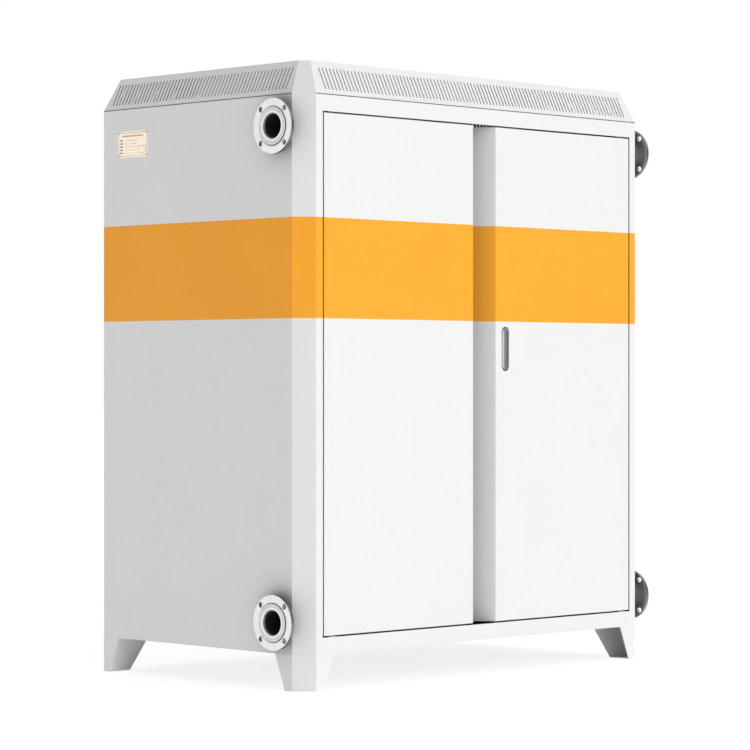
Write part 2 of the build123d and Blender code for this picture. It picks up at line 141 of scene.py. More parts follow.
def noise(tree, scale, detail=3.0):
    """Cloudy values from 0 to 1 whose patches are about 1 / scale metres wide."""
    inputs = {"Vector": place_on_object(tree), "Scale": scale, "Detail": detail}
    return node(tree, "TexNoise", inputs).outputs["Fac"]


def ranged(tree, value, low, high, start=0.0, end=1.0, **settings):
    """Maps a value that runs from start to end onto the range from low to high."""
    inputs = {"Value": value, "From Min": start, "From Max": end, "To Min": low, "To Max": high}
    return node(tree, "MapRange", inputs, **settings).outputs[0]


def spread(tree, value, low, high):
    """Stretches the middle of a noise, where most of its values lie, from low to high."""
    return ranged(tree, value, low, high, 0.3, 0.7)


MIX_FIRST, MIX_SECOND, MIX_RESULT = 6, 7, 2


def mixed(tree, share, first, second):
    """Two colours mixed by a share, 0 for the first and 1 for the second."""
    mix = node(tree, "Mix", {0: share}, data_type="RGBA")
    for socket, colour in ((MIX_FIRST, first), (MIX_SECOND, second)):
        if isinstance(colour, bpy.types.NodeSocket):
            tree.links.new(colour, mix.inputs[socket])
        else:
            mix.inputs[socket].default_value = (*colour, 1.0)
    return mix.outputs[MIX_RESULT]


def tinted(tree, colour, value, swing):
    """The colour, made lighter and darker by swing as the value goes from 0 to 1."""
    dark = [c * (1 - swing) for c in colour]
    light = [min(1.0, c * (1 + swing)) for c in colour]
    return mixed(tree, value, dark, light)


def bump(tree, height, distance, strength=1.0, onto=None):
    """Relief from a height value, laid over the relief of another Bump node if one is given."""
    inputs = {"Height": height, "Distance": distance, "Strength": strength}
    if onto is not None:
        inputs["Normal"] = onto
    return node(tree, "Bump", inputs).outputs["Normal"]


print("node helpers ready")

# %% [markdown]
# ## Light that has bounced
# In the picture the side, the groove and the space behind the flanges stay clearly darker than
# the front. A closed white room fills such places with light that goes back and forth between
# white surfaces. Black cards around the set would hold it back in a studio, but they would also
# have to stay out of sight of the steel. The Light Path node does the same inside the finish: a
# ray from the camera meets the full colour, and a ray that comes off another surface meets only
# a share of it.

# %% Colour for bounced rays
BOUNCE_SHARE = 0.05
MIRROR_SHARE = 0.25


def held_back(tree, colour, bounce_share=BOUNCE_SHARE):
    """The colour, shown at a small share of itself to rays that come off something else."""
    path = node(tree, "LightPath").outputs
    bounced = ranged(tree, path["Is Diffuse Ray"], 1.0, bounce_share)
    mirrored = ranged(tree, path["Is Glossy Ray"], 1.0, MIRROR_SHARE)
    level = maths(tree, "MULTIPLY", bounced, mirrored)
    return vectors(tree, "SCALE", {0: colour, "Scale": level})


print("bounced rays meet", BOUNCE_SHARE, "of a colour, and mirrored rays", MIRROR_SHARE)

# %% [markdown]
# ## Cabinet paint and the orange band
# The sheet metal is powder coated: a smooth, slightly waxy white with a very fine orange peel.
# One broad orange band runs round the outside at the same height on every face and crosses
# posts, doors and the centre groove. The band could be a separate strip of geometry, but on
# the real cabinet it has no thickness, so it is masked in the paint by height. Paint is sprayed
# from outside and inner faces keep a near-black undercoat, so a second mask asks whether the
# surface looks away from the middle of the cabinet. That near-black is also painted shade for
# the inside seen through the hood's slots and the seams. The legs hang below and are white all
# over. An Ambient Occlusion node paints shade into the colour where other surfaces are near,
# as in the groove and round the flanges. The legs are left out of that painted shade and keep
# most of their white for bounced rays, because the floor beside them lights them from below.

# %% Cabinet paint
PAINT_WHITE = (0.80, 0.80, 0.80)
BAND_ORANGE = (0.97, 0.40, 0.024)
# Near-black for inner faces: an undercoat that also serves as painted shade inside the cabinet.
UNDERCOAT_AND_SHADE = (0.055, 0.057, 0.06)
BAND_BOTTOM = 1.2740
BAND_TOP = 1.6205
BAND_EDGE = 0.0006
CABINET_MIDDLE = (0.0, 0.0, 1.08)
LEG_TOP = 0.1245
CLOUD_SCALE = 3.0
GLOSS_SCALE = 14.0
GLOSS_RANGE = (0.36, 0.44)
SPECULAR_LEVEL = 0.3
PEEL_SCALE = 420.0
PEEL_RELIEF = 0.00005
SHEET_WAVE_SCALE = 2.2
SHEET_WAVE_RELIEF = 0.0012
LEG_BOUNCE_SHARE = 0.85
# Reach and depth of the shade painted into the colour where other surfaces are near.
PAINTED_SHADE_REACH = 0.15
PAINTED_SHADE_STRENGTH = 0.55


def outside_mask(tree, coordinates):
    """1 where the surface looks away from the cabinet's middle, 0 on inner faces."""
    arm = vectors(tree, "SUBTRACT", {0: coordinates["Object"], 1: CABINET_MIDDLE})
    facing = vectors(tree, "DOT_PRODUCT", {0: arm, 1: coordinates["Normal"]}, "Value")
    return maths(tree, "GREATER_THAN", facing, 0.0)


def band_mask(tree, height):
    """1 between the two edges of the sprayed band."""
    above = maths(tree, "SUBTRACT", height, BAND_BOTTOM)
    below = maths(tree, "SUBTRACT", BAND_TOP, height)
    return ranged(tree, maths(tree, "MINIMUM", above, below), 0.0, 1.0, 0.0, BAND_EDGE)


def painted_shade_level(tree, on_leg):
    """Share of the paint's colour left by the painted shade near other surfaces, and all of it on a
    leg.
    """
    shade_nearby = node(tree, "AmbientOcclusion", {"Distance": PAINTED_SHADE_REACH}, samples=4).outputs["AO"]
    return maths(tree, "MAXIMUM", ranged(tree, shade_nearby, 1 - PAINTED_SHADE_STRENGTH, 1.0), on_leg)


def make_cabinet_paint():
    material, tree, shader = blank_material("cabinet_powder_coat")
    coordinates = node(tree, "TexCoord").outputs
    height = node(tree, "SeparateXYZ", {0: coordinates["Object"]}).outputs["Z"]
    cloud = spread(tree, noise(tree, CLOUD_SCALE), 0.0, 1.0)
    white = tinted(tree, PAINT_WHITE, cloud, 0.006)
    orange = tinted(tree, BAND_ORANGE, cloud, 0.012)
    paint = mixed(tree, band_mask(tree, height), white, orange)
    on_leg = maths(tree, "LESS_THAN", height, LEG_TOP)
    sprayed = maths(tree, "MAXIMUM", outside_mask(tree, coordinates), on_leg)
    # Inner faces take the near-black undercoat, which is also painted shade inside the cabinet.
    coated = mixed(tree, sprayed, UNDERCOAT_AND_SHADE, paint)
    # Painted shade: the colour is darkened where other surfaces are near.
    shaded = vectors(tree, "SCALE", {0: coated, "Scale": painted_shade_level(tree, on_leg)})
    share = maths(tree, "MULTIPLY_ADD", on_leg, LEG_BOUNCE_SHARE - BOUNCE_SHARE, BOUNCE_SHARE)
    tree.links.new(held_back(tree, shaded, share), shader.inputs["Base Color"])
    shader.inputs["Specular IOR Level"].default_value = SPECULAR_LEVEL
    gloss = spread(tree, noise(tree, GLOSS_SCALE), *GLOSS_RANGE)
    tree.links.new(gloss, shader.inputs["Roughness"])
    peel = bump(tree, noise(tree, PEEL_SCALE, 2.0), PEEL_RELIEF, 0.5)
    waves = bump(tree, noise(tree, SHEET_WAVE_SCALE, 1.0), SHEET_WAVE_RELIEF, 0.35, onto=peel)
    tree.links.new(waves, shader.inputs["Normal"])
    return material


cabinet_paint = make_cabinet_paint()
print("cabinet paint:", len(cabinet_paint.node_tree.nodes), "nodes")

# %% [markdown]
# ## Metals and coats behind and beside the cabinet
# A finish is mostly three things: its colour, how sharply it mirrors, and the small relief in
# its surface. Cast metal is pimpled, rolled sheet is brushed along one way, and a faced flange
# carries rings from the lathe. The family below shares one recipe, and the turned and brushed
# steels add their own direction to it.

# %% Shared recipe for plain coats and metals
def coat(name, colour, roughness, metallic=0.0, grain=60.0, relief=0.0002, swing=0.05):
    """A finish with cloudy tone, uneven gloss and a fine grain in its relief."""
    material, tree, shader = blank_material(name)
    cloud = spread(tree, noise(tree, grain / 6), 0.0, 1.0)
    tree.links.new(tinted(tree, colour, cloud, swing), shader.inputs["Base Color"])
    gloss = spread(tree, noise(tree, grain / 3), roughness * 0.9, roughness * 1.12)
    tree.links.new(gloss, shader.inputs["Roughness"])
    shader.inputs["Metallic"].default_value = metallic
    tree.links.new(bump(tree, noise(tree, grain), relief), shader.inputs["Normal"])
    return material


def radius_about_z(tree):
    """Distance of a point from its object's own Z axis, in metres."""
    flat = vectors(tree, "MULTIPLY", {0: place_on_object(tree), 1: (1, 1, 0)})
    return vectors(tree, "LENGTH", {0: flat}, "Value")


def turned(name, colour, roughness, pitch):
    """Steel faced on a lathe: fine rings round the object's own Z axis."""
    material, tree, shader = blank_material(name)
    radius = radius_about_z(tree)
    rings = maths(tree, "SINE", maths(tree, "MULTIPLY", radius, 2 * pi / pitch))
    cloud = spread(tree, noise(tree, 35.0), 0.0, 1.0)
    steel = held_back(tree, tinted(tree, colour, cloud, 0.035))
    tree.links.new(steel, shader.inputs["Base Color"])
    gloss = spread(tree, noise(tree, 120.0), roughness * 0.88, roughness * 1.15)
    tree.links.new(gloss, shader.inputs["Roughness"])
    shader.inputs["Metallic"].default_value = 1.0
    tree.links.new(bump(tree, rings, 0.00002, 0.6), shader.inputs["Normal"])
    return material


def brushed(name, colour, roughness, stretch):
    """Rolled or brushed sheet whose fine lines run along the axis that stretch keeps small."""
    material, tree, shader = blank_material(name)
    long_way = node(tree, "Mapping", {"Vector": place_on_object(tree), "Scale": stretch})
    inputs = {"Vector": long_way.outputs[0], "Scale": 1.0, "Detail": 4.0}
    lines = node(tree, "TexNoise", inputs).outputs["Fac"]
    tone = tinted(tree, colour, spread(tree, lines, 0, 1), 0.06)
    tree.links.new(tone, shader.inputs["Base Color"])
    gloss = spread(tree, lines, roughness * 0.8, roughness * 1.2)
    tree.links.new(gloss, shader.inputs["Roughness"])
    shader.inputs["Metallic"].default_value = 1.0
    tree.links.new(bump(tree, lines, 0.00006, 0.5), shader.inputs["Normal"])
    return material


print("recipes ready for coats, turned steel and brushed sheet")

# %% [markdown]
# ## The finishes of this boiler
# Steel on the outside is clean and bright, because the picture shows a new machine. Inside, the
# jackets and pipes are painted dark and the fasteners are plated. Each finish is one line of
# the recipes above, so one colour or gloss can be changed and leaves the others alone.

# %% The boiler's own finishes
flange_steel = turned("faced_flange_steel", (0.79, 0.79, 0.785), 0.38, 0.0011)
# A darker copy of the faced steel: painted shade on the serration grooves and the rim.
groove_and_rim_shade_steel = turned("flange_steel_painted_shade", (0.30, 0.30, 0.296), 0.45, 0.0011)
# Near-black steel: painted shade in the relief groove and the bore.
recess_shade_steel = coat("dark_steel_painted_shade", (0.05, 0.048, 0.045), 0.5, metallic=0.6, grain=300,
                   swing=0.2)
pull_cup = coat("pale_pull_cup", (0.95, 0.95, 0.95), 0.45, grain=300, swing=0.01)
pull_metal = brushed("satin_pull_metal", (0.42, 0.42, 0.425), 0.34, (900, 900, 12))
flue_steel = brushed("stainless_flue_sheet", (0.62, 0.625, 0.63), 0.33, (700, 700, 9))
pin_steel = turned("turned_pin_steel", (0.55, 0.56, 0.58), 0.3, 0.0008)
zinc = coat("zinc_plated_fastener", (0.68, 0.69, 0.71), 0.32, metallic=1.0, grain=240, swing=0.06)
weld_metal = coat("weld_bead_metal", (0.33, 0.32, 0.31), 0.42, metallic=1.0, grain=300, swing=0.2)
frame_steel = coat("grey_primer", (0.20, 0.21, 0.22), 0.55, grain=160)
pipe_paint = coat("grey_pipe_paint", (0.20, 0.22, 0.235), 0.38, grain=120)
pipe_scale = coat("dark_pipe_scale", (0.012, 0.011, 0.011), 0.75, grain=200, swing=0.3)
jacket_coat = coat("module_jacket_coat", (0.055, 0.066, 0.08), 0.42, grain=260, relief=0.00015)
lid_coat = coat("module_lid_coat", (0.24, 0.255, 0.27), 0.4, grain=260, relief=0.00015)
cast_metal = coat("cast_burner_metal", (0.56, 0.565, 0.58), 0.46, metallic=0.9, grain=420,
                  relief=0.0004)
# Black coat of the fan and the gauges, also used as painted shade in the screws' cross recesses.
fan_black_and_recess_shade = coat("fan_black_coat_and_recess_shade", (0.028, 0.029, 0.032), 0.45, grain=300)
motor_coat = coat("motor_grey_coat", (0.11, 0.13, 0.15), 0.4, grain=200)
rubber = coat("black_rubber", (0.018, 0.018, 0.019), 0.65, grain=500)
plate_cream = coat("cream_plate_metal", (0.97, 0.85, 0.70), 0.3, metallic=0.9, grain=90,
                   relief=0.00004, swing=0.02)
plate_ink = coat("brown_plate_ink", (0.09, 0.065, 0.05), 0.45, grain=200)
dial_face = coat("white_dial_face", (0.82, 0.82, 0.80), 0.3, grain=200, relief=0.00003,
                 swing=0.02)
brass = coat("valve_brass", (0.72, 0.50, 0.22), 0.32, metallic=1.0, grain=260, swing=0.1)
print("finishes:", len(bpy.data.materials))

# %% [markdown]
# ## Dress the construction
# Most of the cabinet is right as it stands, so its panels keep their shape and only take a
# finish. The record names a finish slot for each node, which makes this one loop instead of
# forty separate lines, and a node that is added later gets its paint by itself.

# %% Finishes on the nodes of the frame
FINISH_OF_SLOT = {
    "cabinet_paint": cabinet_paint,
    "frame_steel": frame_steel,
    "flange_steel": flange_steel,
    "pipe_steel": pipe_paint,
    "jacket": jacket_coat,
    "burner_casting": cast_metal,
    "flue_steel": flue_steel,
    "pull_metal": pull_metal,
    "pin_steel": pin_steel,
    "plate_metal": plate_cream,
}


def dress_nodes():
    for part in frame["record"]["subparts"]:
        finish = FINISH_OF_SLOT[part["material_slot"]]
        target = frame["nodes"][part["node"]]
        if target.material_slots:
            target.material_slots[0].material = finish
        else:
            target.data.materials.append(finish)


dress_nodes()

# %% [markdown]
# ## Forms made of rings
# Nearly everything on a boiler is turned, bent from sheet or cut from plate. Rings of points
# joined by faces make all of the turned and rounded forms, so `loft` is the main tool here:
# a flange, a pipe, a pull and a jacket are only different rings. A Screw modifier could turn a
# profile too, but plain faces let each band carry its own finish.

# %% Rings, loft and lathe
MM = 0.001


def ring(radius, height, count=64):
    """A circle of points round Z at one height."""
    turns = [2 * pi * i / count for i in range(count)]
    return [Vector((radius * cos(t), radius * sin(t), height)) for t in turns]


def rounded_ring(half_x, half_y, corner, height, steps=6):
    """A rectangle of points with round corners at one height."""
    points = []
    for quarter, (sx, sy) in enumerate(((1, 1), (-1, 1), (-1, -1), (1, -1))):
        middle = Vector((sx * (half_x - corner), sy * (half_y - corner), height))
        for i in range(steps + 1):
            turn = (quarter + i / steps) * pi / 2
            points.append(middle + Vector((corner * cos(turn), corner * sin(turn), 0)))
    return points


def loft(mesh, rings, place=None, caps=(True, True), closed=False, finish=0):
    """Joins rings of equally many points by faces. Finish is one index, or one for each band."""
    place = place or Matrix.Identity(4)
    rows = [[mesh.verts.new(place @ p) for p in points] for points in rings]
    pairs = list(zip(rows, rows[1:]))
    if closed:
        pairs.append((rows[-1], rows[0]))
    count = len(rows[0])
    bands = [finish] * len(pairs) if isinstance(finish, int) else finish
    for (low, high), band in zip(pairs, bands):
        for i in range(count):
            j = (i + 1) % count
            mesh.faces.new((low[i], low[j], high[j], high[i])).material_index = band
    if caps[0] and not closed:
        mesh.faces.new(list(reversed(rows[0]))).material_index = bands[0]
    if caps[1] and not closed:
        mesh.faces.new(rows[-1]).material_index = bands[-1]


def lathe(mesh, profile, place=None, count=64, finish=0, closed=True):
    """Turns a profile of (radius, height) points round Z."""
    rings = [ring(radius, height, count) for radius, height in profile]
    loft(mesh, rings, place, caps=(False, False), closed=closed, finish=finish)


print("rings, loft and lathe ready")

# %% [markdown]
# ## Plates, bars and rods
# Flat pieces are blocks with small round edges, because a real edge is never razor sharp and
# catches a thin line of light. A rod or a bent pipe follows a path, and a curve with a round
# bevel is already a pipe, so those start as curves and their evaluated shape joins the mesh.

# %% Blocks, placements and rods
def block(mesh, low, high, edge=1 * MM, place=None, finish=0):
    """A plate or bar between two corners with small round edges."""
    low, high = Vector(low), Vector(high)
    size = high - low
    shape = Matrix.Translation((low + high) / 2) @ Matrix.Diagonal((*size, 1))
    made = bmesh.ops.create_cube(mesh, size=1, matrix=(place or Matrix.Identity(4)) @ shape)
    for face in {f for v in made["verts"] for f in v.link_faces}:
        face.material_index = finish
    edges = list({e for v in made["verts"] for e in v.link_edges})
    bmesh.ops.bevel(mesh, geom=edges, offset=min(edge, min(size) * 0.4), segments=2, profile=0.5,
                    affect="EDGES", material=-1)


def along(start, direction):
    """A placement whose own Z points along a direction from a start."""
    turn = Vector(direction).to_track_quat("Z", "Y").to_matrix().to_4x4()
    return Matrix.Translation(start) @ turn


def take_object(mesh, made, finish=0):
    """Adds the evaluated shape of a helper object to a mesh and removes the helper."""
    bpy.context.scene.collection.objects.link(made)
    bpy.context.view_layer.update()
    shape = bpy.data.meshes.new_from_object(made.evaluated_get(bpy.context.evaluated_depsgraph_get()))
    first = len(mesh.faces)
    mesh.from_mesh(shape)
    mesh.faces.ensure_lookup_table()
    for face in mesh.faces[first:]:
        face.material_index = finish
    bpy.data.objects.remove(made)
    bpy.data.meshes.remove(shape)


def rod(mesh, points, radius, cyclic=False, finish=0, resolution=6):
    """A round bar along points, made from a curve with a round bevel."""
    data = bpy.data.curves.new("rod_path", "CURVE")
    data.dimensions = "3D"
    data.bevel_depth = radius
    data.bevel_resolution = resolution
    data.use_fill_caps = not cyclic
    line = data.splines.new("POLY")
    line.points.add(len(points) - 1)
    for spot, point in zip(line.points, points):
        spot.co = (*point, 1)
    line.use_cyclic_u = cyclic
    take_object(mesh, bpy.data.objects.new("rod_path", data), finish)


def bent(points, bend, steps=8):
    """The points of a path whose corners are rounded to one bend radius."""
    points = [Vector(p) for p in points]
    path = [points[0]]
    for before, corner, after in zip(points, points[1:], points[2:]):
        back = (before - corner).normalized()
        ahead = (after - corner).normalized()
        half = back.angle(ahead) / 2
        middle = corner + (back + ahead).normalized() * bend / sin(half)
        start = corner + back * bend / (sin(half) / cos(half)) - middle
        end = corner + ahead * bend / (sin(half) / cos(half)) - middle
        turns = [start.normalized().slerp(end.normalized(), i / steps) for i in range(steps + 1)]
        path += [middle + turn * bend for turn in turns]
    return path + [points[-1]]


print("blocks, placements and rods ready")

# %% [markdown]
# ## From a mesh to a piece of the boiler
# Every piece ends in the same way: doubled points are joined, faces are turned outwards, and
# edges count as sharp only where two faces meet at a clear angle. A modifier could pick the
# edges by angle later, but marking them once keeps the piece the same everywhere. The piece
# then rides on its body, so that a door takes its own parts along when it opens.

# %% Finished pieces
SHARP_ANGLE = radians(32)


def piece(name, mesh, finishes, body, replaced=(), place=None):
    """Turns a bmesh into a finished object on its body, with sharp and smooth edges marked."""
    bmesh.ops.remove_doubles(mesh, verts=mesh.verts, dist=1e-6)
    bmesh.ops.recalc_face_normals(mesh, faces=mesh.faces)
    for face in mesh.faces:
        face.smooth = True
    for edge in mesh.edges:
        edge.smooth = len(edge.link_faces) == 2 and edge.calc_face_angle(0) < SHARP_ANGLE
    data = bpy.data.meshes.new(name)
    mesh.to_mesh(data)
    mesh.free()
    for finish in finishes:
        data.materials.append(finish)
    made = bpy.data.objects.new(name, data)
    bpy.context.scene.collection.objects.link(made)
    if place is not None:
        made.matrix_world = place
    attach(made, body)
    if replaced:
        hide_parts(*replaced)
    print(f"{name}: {len(data.polygons)} faces")
    return made


def middle_of(name):
    low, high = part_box(name)
    return (Vector(low) + Vector(high)) / 2


print("middle of the base tray:", [round(v, 3) for v in middle_of("base_tray")])

# %% [markdown]
# ## The slip-on flanges
# Each header ends in a flange on both sides of the cabinet. On the real one a thick disc is
# faced on a lathe, four bolt holes are drilled between the axes, and the raised face in the
# middle is cut with fine grooves that grip the gasket. A boolean could drill the holes,
# but a filled curve with holes gives clean rims and a small bevel in one step. The raised
# face is a lathe profile, so the serrations are real geometry that catches the light. Shade is
# also painted on: the serration grooves and the rim take a darker steel, and the relief at the
# foot of the raised face and the bore take a near-black steel.

# %% Flange shape
HEADER_Y = middle_of("supply_header").y
SUPPLY_Z = middle_of("supply_header").z
RETURN_Z = middle_of("return_header").z
PIPE_OUTER = (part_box("supply_header")[1][1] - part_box("supply_header")[0][1]) / 2
PIPE_WALL = 4 * MM
PIPE_INNER = PIPE_OUTER - PIPE_WALL
PIPE_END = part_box("supply_header")[1][0]
FLANGE_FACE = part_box("right_flanges")[1][0]
FLANGE_THICKNESS = FLANGE_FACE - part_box("right_flanges")[0][0]
FLANGE_RADIUS = (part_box("right_flanges")[1][1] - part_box("right_flanges")[0][1]) / 2
RAISED_FACE = 66 * MM
RAISED_STEP = 2 * MM
BOLT_CIRCLE = 82.5 * MM
BOLT_HOLE = 9.5 * MM
FLANGE_BORE = PIPE_OUTER + 0.15 * MM
RIM_BEVEL = 1.2 * MM
RELIEF_WIDTH = 2.6 * MM
RELIEF_DEPTH = 1.6 * MM
SOFT_EDGE = 0.4 * MM
BORE_CHAMFER = 1.2 * MM
SERRATION_PITCH = 4.4 * MM
SERRATION_WIDTH = 1.2 * MM
SERRATION_DEPTH = 0.8 * MM
FACED, GROOVE_AND_RIM_SHADE, RECESS_SHADE = range(3)


def drilled_disc(mesh, radius, holes, low, high, bevel, count=128, finish=0):
    """A disc between two heights with round holes, from a filled curve with a small bevel."""
    data = bpy.data.curves.new("disc_outline", "CURVE")
    data.dimensions = "2D"
    data.fill_mode = "BOTH"
    data.extrude = (high - low) / 2 - bevel
    data.bevel_depth = bevel
    data.bevel_resolution = 2
    outlines = [(Vector((0, 0, 0)), radius - bevel, count)]
    outlines += [(Vector((x, y, 0)), hole + bevel, max(24, count // 3)) for x, y, hole in holes]
    for centre, size, points in outlines:
        line = data.splines.new("POLY")
        line.points.add(points - 1)
        for spot, point in zip(line.points, ring(size, 0, points)):
            spot.co = (*(centre + point), 1)
        line.use_cyclic_u = True
    first = len(mesh.verts)
    take_object(mesh, bpy.data.objects.new("disc_outline", data), finish)
    mesh.verts.ensure_lookup_table()
    for vert in mesh.verts[first:]:
        vert.co.z += (low + high) / 2


def raised_face_profile():
    """Profile of the flange's middle and the finish of each of its bands."""
    relief = RAISED_FACE + RELIEF_WIDTH + 0.3 * MM
    floor = -RAISED_STEP - RELIEF_DEPTH
    steps = [
        (FLANGE_BORE, -FLANGE_THICKNESS, FACED),
        (relief, -FLANGE_THICKNESS, FACED),
        # The relief groove's floor and inner wall take the near-black painted shade.
        (relief, floor, RECESS_SHADE),
        (RAISED_FACE, floor, RECESS_SHADE),
        (RAISED_FACE, -SOFT_EDGE, FACED),
        (RAISED_FACE - SOFT_EDGE, 0.0, FACED),
    ]
    radius = RAISED_FACE - 2 * MM
    while radius - SERRATION_PITCH > FLANGE_BORE + 2 * MM:
        steps += [
            # Both faces of each serration groove take the darker steel as painted shade.
            (radius, 0.0, GROOVE_AND_RIM_SHADE),
            (radius - SERRATION_WIDTH / 2, -SERRATION_DEPTH, GROOVE_AND_RIM_SHADE),
            (radius - SERRATION_WIDTH, 0.0, FACED),
        ]
        radius -= SERRATION_PITCH
    # The bore wall, which closes the profile, takes the near-black painted shade.
    steps += [(FLANGE_BORE + BORE_CHAMFER, 0.0, FACED), (FLANGE_BORE, -BORE_CHAMFER, RECESS_SHADE)]
    return [(radius, height) for radius, height, _ in steps], [band for _, _, band in steps]


def flange_shape(mesh):
    """One flange round Z with its raised face at height 0."""
    reach = BOLT_CIRCLE / sqrt(2)
    holes = [(sx * reach, sy * reach, BOLT_HOLE) for sx in (1, -1) for sy in (1, -1)]
    holes.append((0, 0, RAISED_FACE + RELIEF_WIDTH))
    drilled_disc(mesh, FLANGE_RADIUS, holes, -FLANGE_THICKNESS, -RAISED_STEP, RIM_BEVEL)
    # The rim takes the darker steel as painted shade.
    for face in mesh.faces:
        if min(vert.co.xy.length for vert in face.verts) > FLANGE_RADIUS - RIM_BEVEL / 2:
            face.material_index = GROOVE_AND_RIM_SHADE
    profile, bands = raised_face_profile()
    lathe(mesh, profile, count=128, finish=bands)


print("flange radius", round(FLANGE_RADIUS, 4), "m on a pipe of radius", round(PIPE_OUTER, 4), "m")

# %% [markdown]
# ## Welding the flanges on
# A slip-on flange is welded behind the disc and once more inside, at the pipe's end. A bead has
# an even ripple from the welder's hand and a slow swell from the changing speed. Two sines on
# the size of a ring of sections give both, where a noise texture would look the same all over.

# %% Flanges on both sides
BEAD_BACK = (3.4 * MM, 44)
BEAD_FRONT = (1.9 * MM, 60)


def weld_bead(mesh, radius, height, size, ripples, place=None, finish=0, count=144):
    """A rippled fillet bead round Z, built as sections that run round the joint."""
    sections = []
    for i in range(count):
        turn = 2 * pi * i / count
        swell = size * (1 + 0.10 * sin(ripples * turn) + 0.05 * sin(5 * turn + 1))
        around = Matrix.Rotation(turn, 4, "Z")
        section = ring(swell, 0, 8)
        sections.append([around @ Vector((radius + p.x, 0, height + p.y)) for p in section])
    loft(mesh, sections, place, closed=True, finish=finish)


def make_flanges():
    for side, way in (("left", -1), ("right", 1)):
        for level_name, level in (("supply", SUPPLY_Z), ("return", RETURN_Z)):
            mesh = bmesh.new()
            flange_shape(mesh)
            face = along((way * FLANGE_FACE, HEADER_Y, level), (way, 0, 0))
            piece(f"{side}_{level_name}_flange_disc", mesh, [flange_steel, groove_and_rim_shade_steel, recess_shade_steel],
                  "cabinet", [f"{side}_flanges"], face)
            bead = bmesh.new()
            weld_bead(bead, PIPE_OUTER, -FLANGE_THICKNESS - 0.6 * MM, *BEAD_BACK)
            pipe_end = PIPE_END - FLANGE_FACE + 0.2 * MM
            weld_bead(bead, FLANGE_BORE - 0.3 * MM, pipe_end, *BEAD_FRONT)
            piece(f"{side}_{level_name}_flange_weld", bead, [weld_metal], "cabinet",
                  (), face)


make_flanges()

# %% [markdown]
# ## The headers
# A header is a plain tube from flange to flange behind the doors. Its outside is painted grey,
# its inside is dark mill scale, which is why the bore looks black in the picture. Two finishes
# on one turned piece are simply two groups of faces.

# %% Header tubes
PIPE_CHAMFER = 1 * MM


def make_headers():
    length = 2 * PIPE_END
    outer = [
        (PIPE_INNER + PIPE_CHAMFER, 0),
        (PIPE_OUTER - PIPE_CHAMFER, 0),
        (PIPE_OUTER, PIPE_CHAMFER),
        (PIPE_OUTER, length - PIPE_CHAMFER),
        (PIPE_OUTER - PIPE_CHAMFER, length),
        (PIPE_INNER + PIPE_CHAMFER, length),
    ]
    inner = [outer[-1], (PIPE_INNER, length - PIPE_CHAMFER), (PIPE_INNER, PIPE_CHAMFER), outer[0]]
    for level_name, level in (("supply", SUPPLY_Z), ("return", RETURN_Z)):
        mesh = bmesh.new()
        lathe(mesh, outer, count=96, closed=False)
        lathe(mesh, inner, count=96, closed=False, finish=1)
        place = along((-PIPE_END, HEADER_Y, level), (1, 0, 0))
        piece(f"{level_name}_header_tube", mesh, [pipe_paint, pipe_scale], "cabinet",
              [f"{level_name}_header"], place)


make_headers()

# %% [markdown]
# ## The flush pull
# The right door is opened with a cast cup let into its skin: a broad rim, flush with the paint,
# and a pocket for the fingers. Its outline is a slot with round ends. Rings of that outline,
# each a little smaller or deeper than the one before, give the rim its soft edges and the
# pocket its draft, which a plain cut-out would not have.

# %% Flush pull
PULL_HIDDEN_FLANGE = 7 * MM
PULL_RIM = 5 * MM
PULL_POCKET = 18 * MM
PULL_DEPTH = 20 * MM
BACK_FLANGE = (2.1 * MM, 3.9 * MM)


def slot_ring(half_width, half_height, depth, steps=16):
    """A slot outline with round ends in X and Z at one depth along Y."""
    points = []
    for end, start in ((1, 0.0), (-1, pi)):
        for i in range(steps + 1):
            turn = start + pi * i / steps
            rise = end * (half_height - half_width) + half_width * sin(turn)
            points.append(Vector((half_width * cos(turn), depth, rise)))
    return points


def make_pull():
    low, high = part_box("door_pull")
    centre = middle_of("door_pull")
    half_w = (high[0] - low[0]) / 2 - PULL_HIDDEN_FLANGE
    half_h = (high[2] - low[2]) / 2 - PULL_HIDDEN_FLANGE
    steps = (
        (0.0, PULL_DEPTH),
        (0.0, 0.8 * MM),
        (0.25 * MM, 0.2 * MM),
        (0.8 * MM, 0.0),
        (PULL_RIM - 1.6 * MM, 0.0),
        (PULL_RIM - 0.5 * MM, 0.5 * MM),
        (PULL_RIM, 1.8 * MM),
        (PULL_RIM + 0.6 * MM, PULL_POCKET - 2.4 * MM),
        (PULL_RIM + 1.3 * MM, PULL_POCKET - 0.7 * MM),
        (PULL_RIM + 3.0 * MM, PULL_POCKET),
    )
    mesh = bmesh.new()
    walls_and_floor = [0] * (len(steps) - 2) + [1]
    rings = [slot_ring(half_w - inset, half_h - inset, depth) for inset, depth in steps]
    loft(mesh, rings, finish=walls_and_floor)
    near, far = BACK_FLANGE
    neck = 0.3 * MM
    corners = ((neck, near), (PULL_HIDDEN_FLANGE, near), (PULL_HIDDEN_FLANGE, far), (neck, far))
    rows = [slot_ring(half_w + out, half_h + out, depth) for out, depth in corners]
    loft(mesh, rows, closed=True)
    place = Matrix.Translation((centre.x, low.y, centre.z))
    piece("door_pull_cup", mesh, [pull_metal, pull_cup], "right_door",
          ["door_pull"], place)


make_pull()

# %% [markdown]
# ## The rating plate
# A small cream plate is riveted high on the left side. Its face stays generic: a printed border,
# plain bars and an empty box, as on a blank form. Thin raised bars carry the print, because
# bars made in the mesh stay sharp from close by and need no picture.

# %% Rating plate
PLATE_BORDER = 6 * MM
PLATE_LINE = 1.4 * MM
PLATE_INK = 0.12 * MM
PLATE_CORNER = 3 * MM
PLATE_EDGE = 0.3 * MM
PLATE_RIVET = 4 * MM
TITLE_MARKS = 10
LABEL_ROWS = 5
LABEL_HALF = (8 * MM, 1.9 * MM)
TITLE_HALF = (3 * MM, 3 * MM)


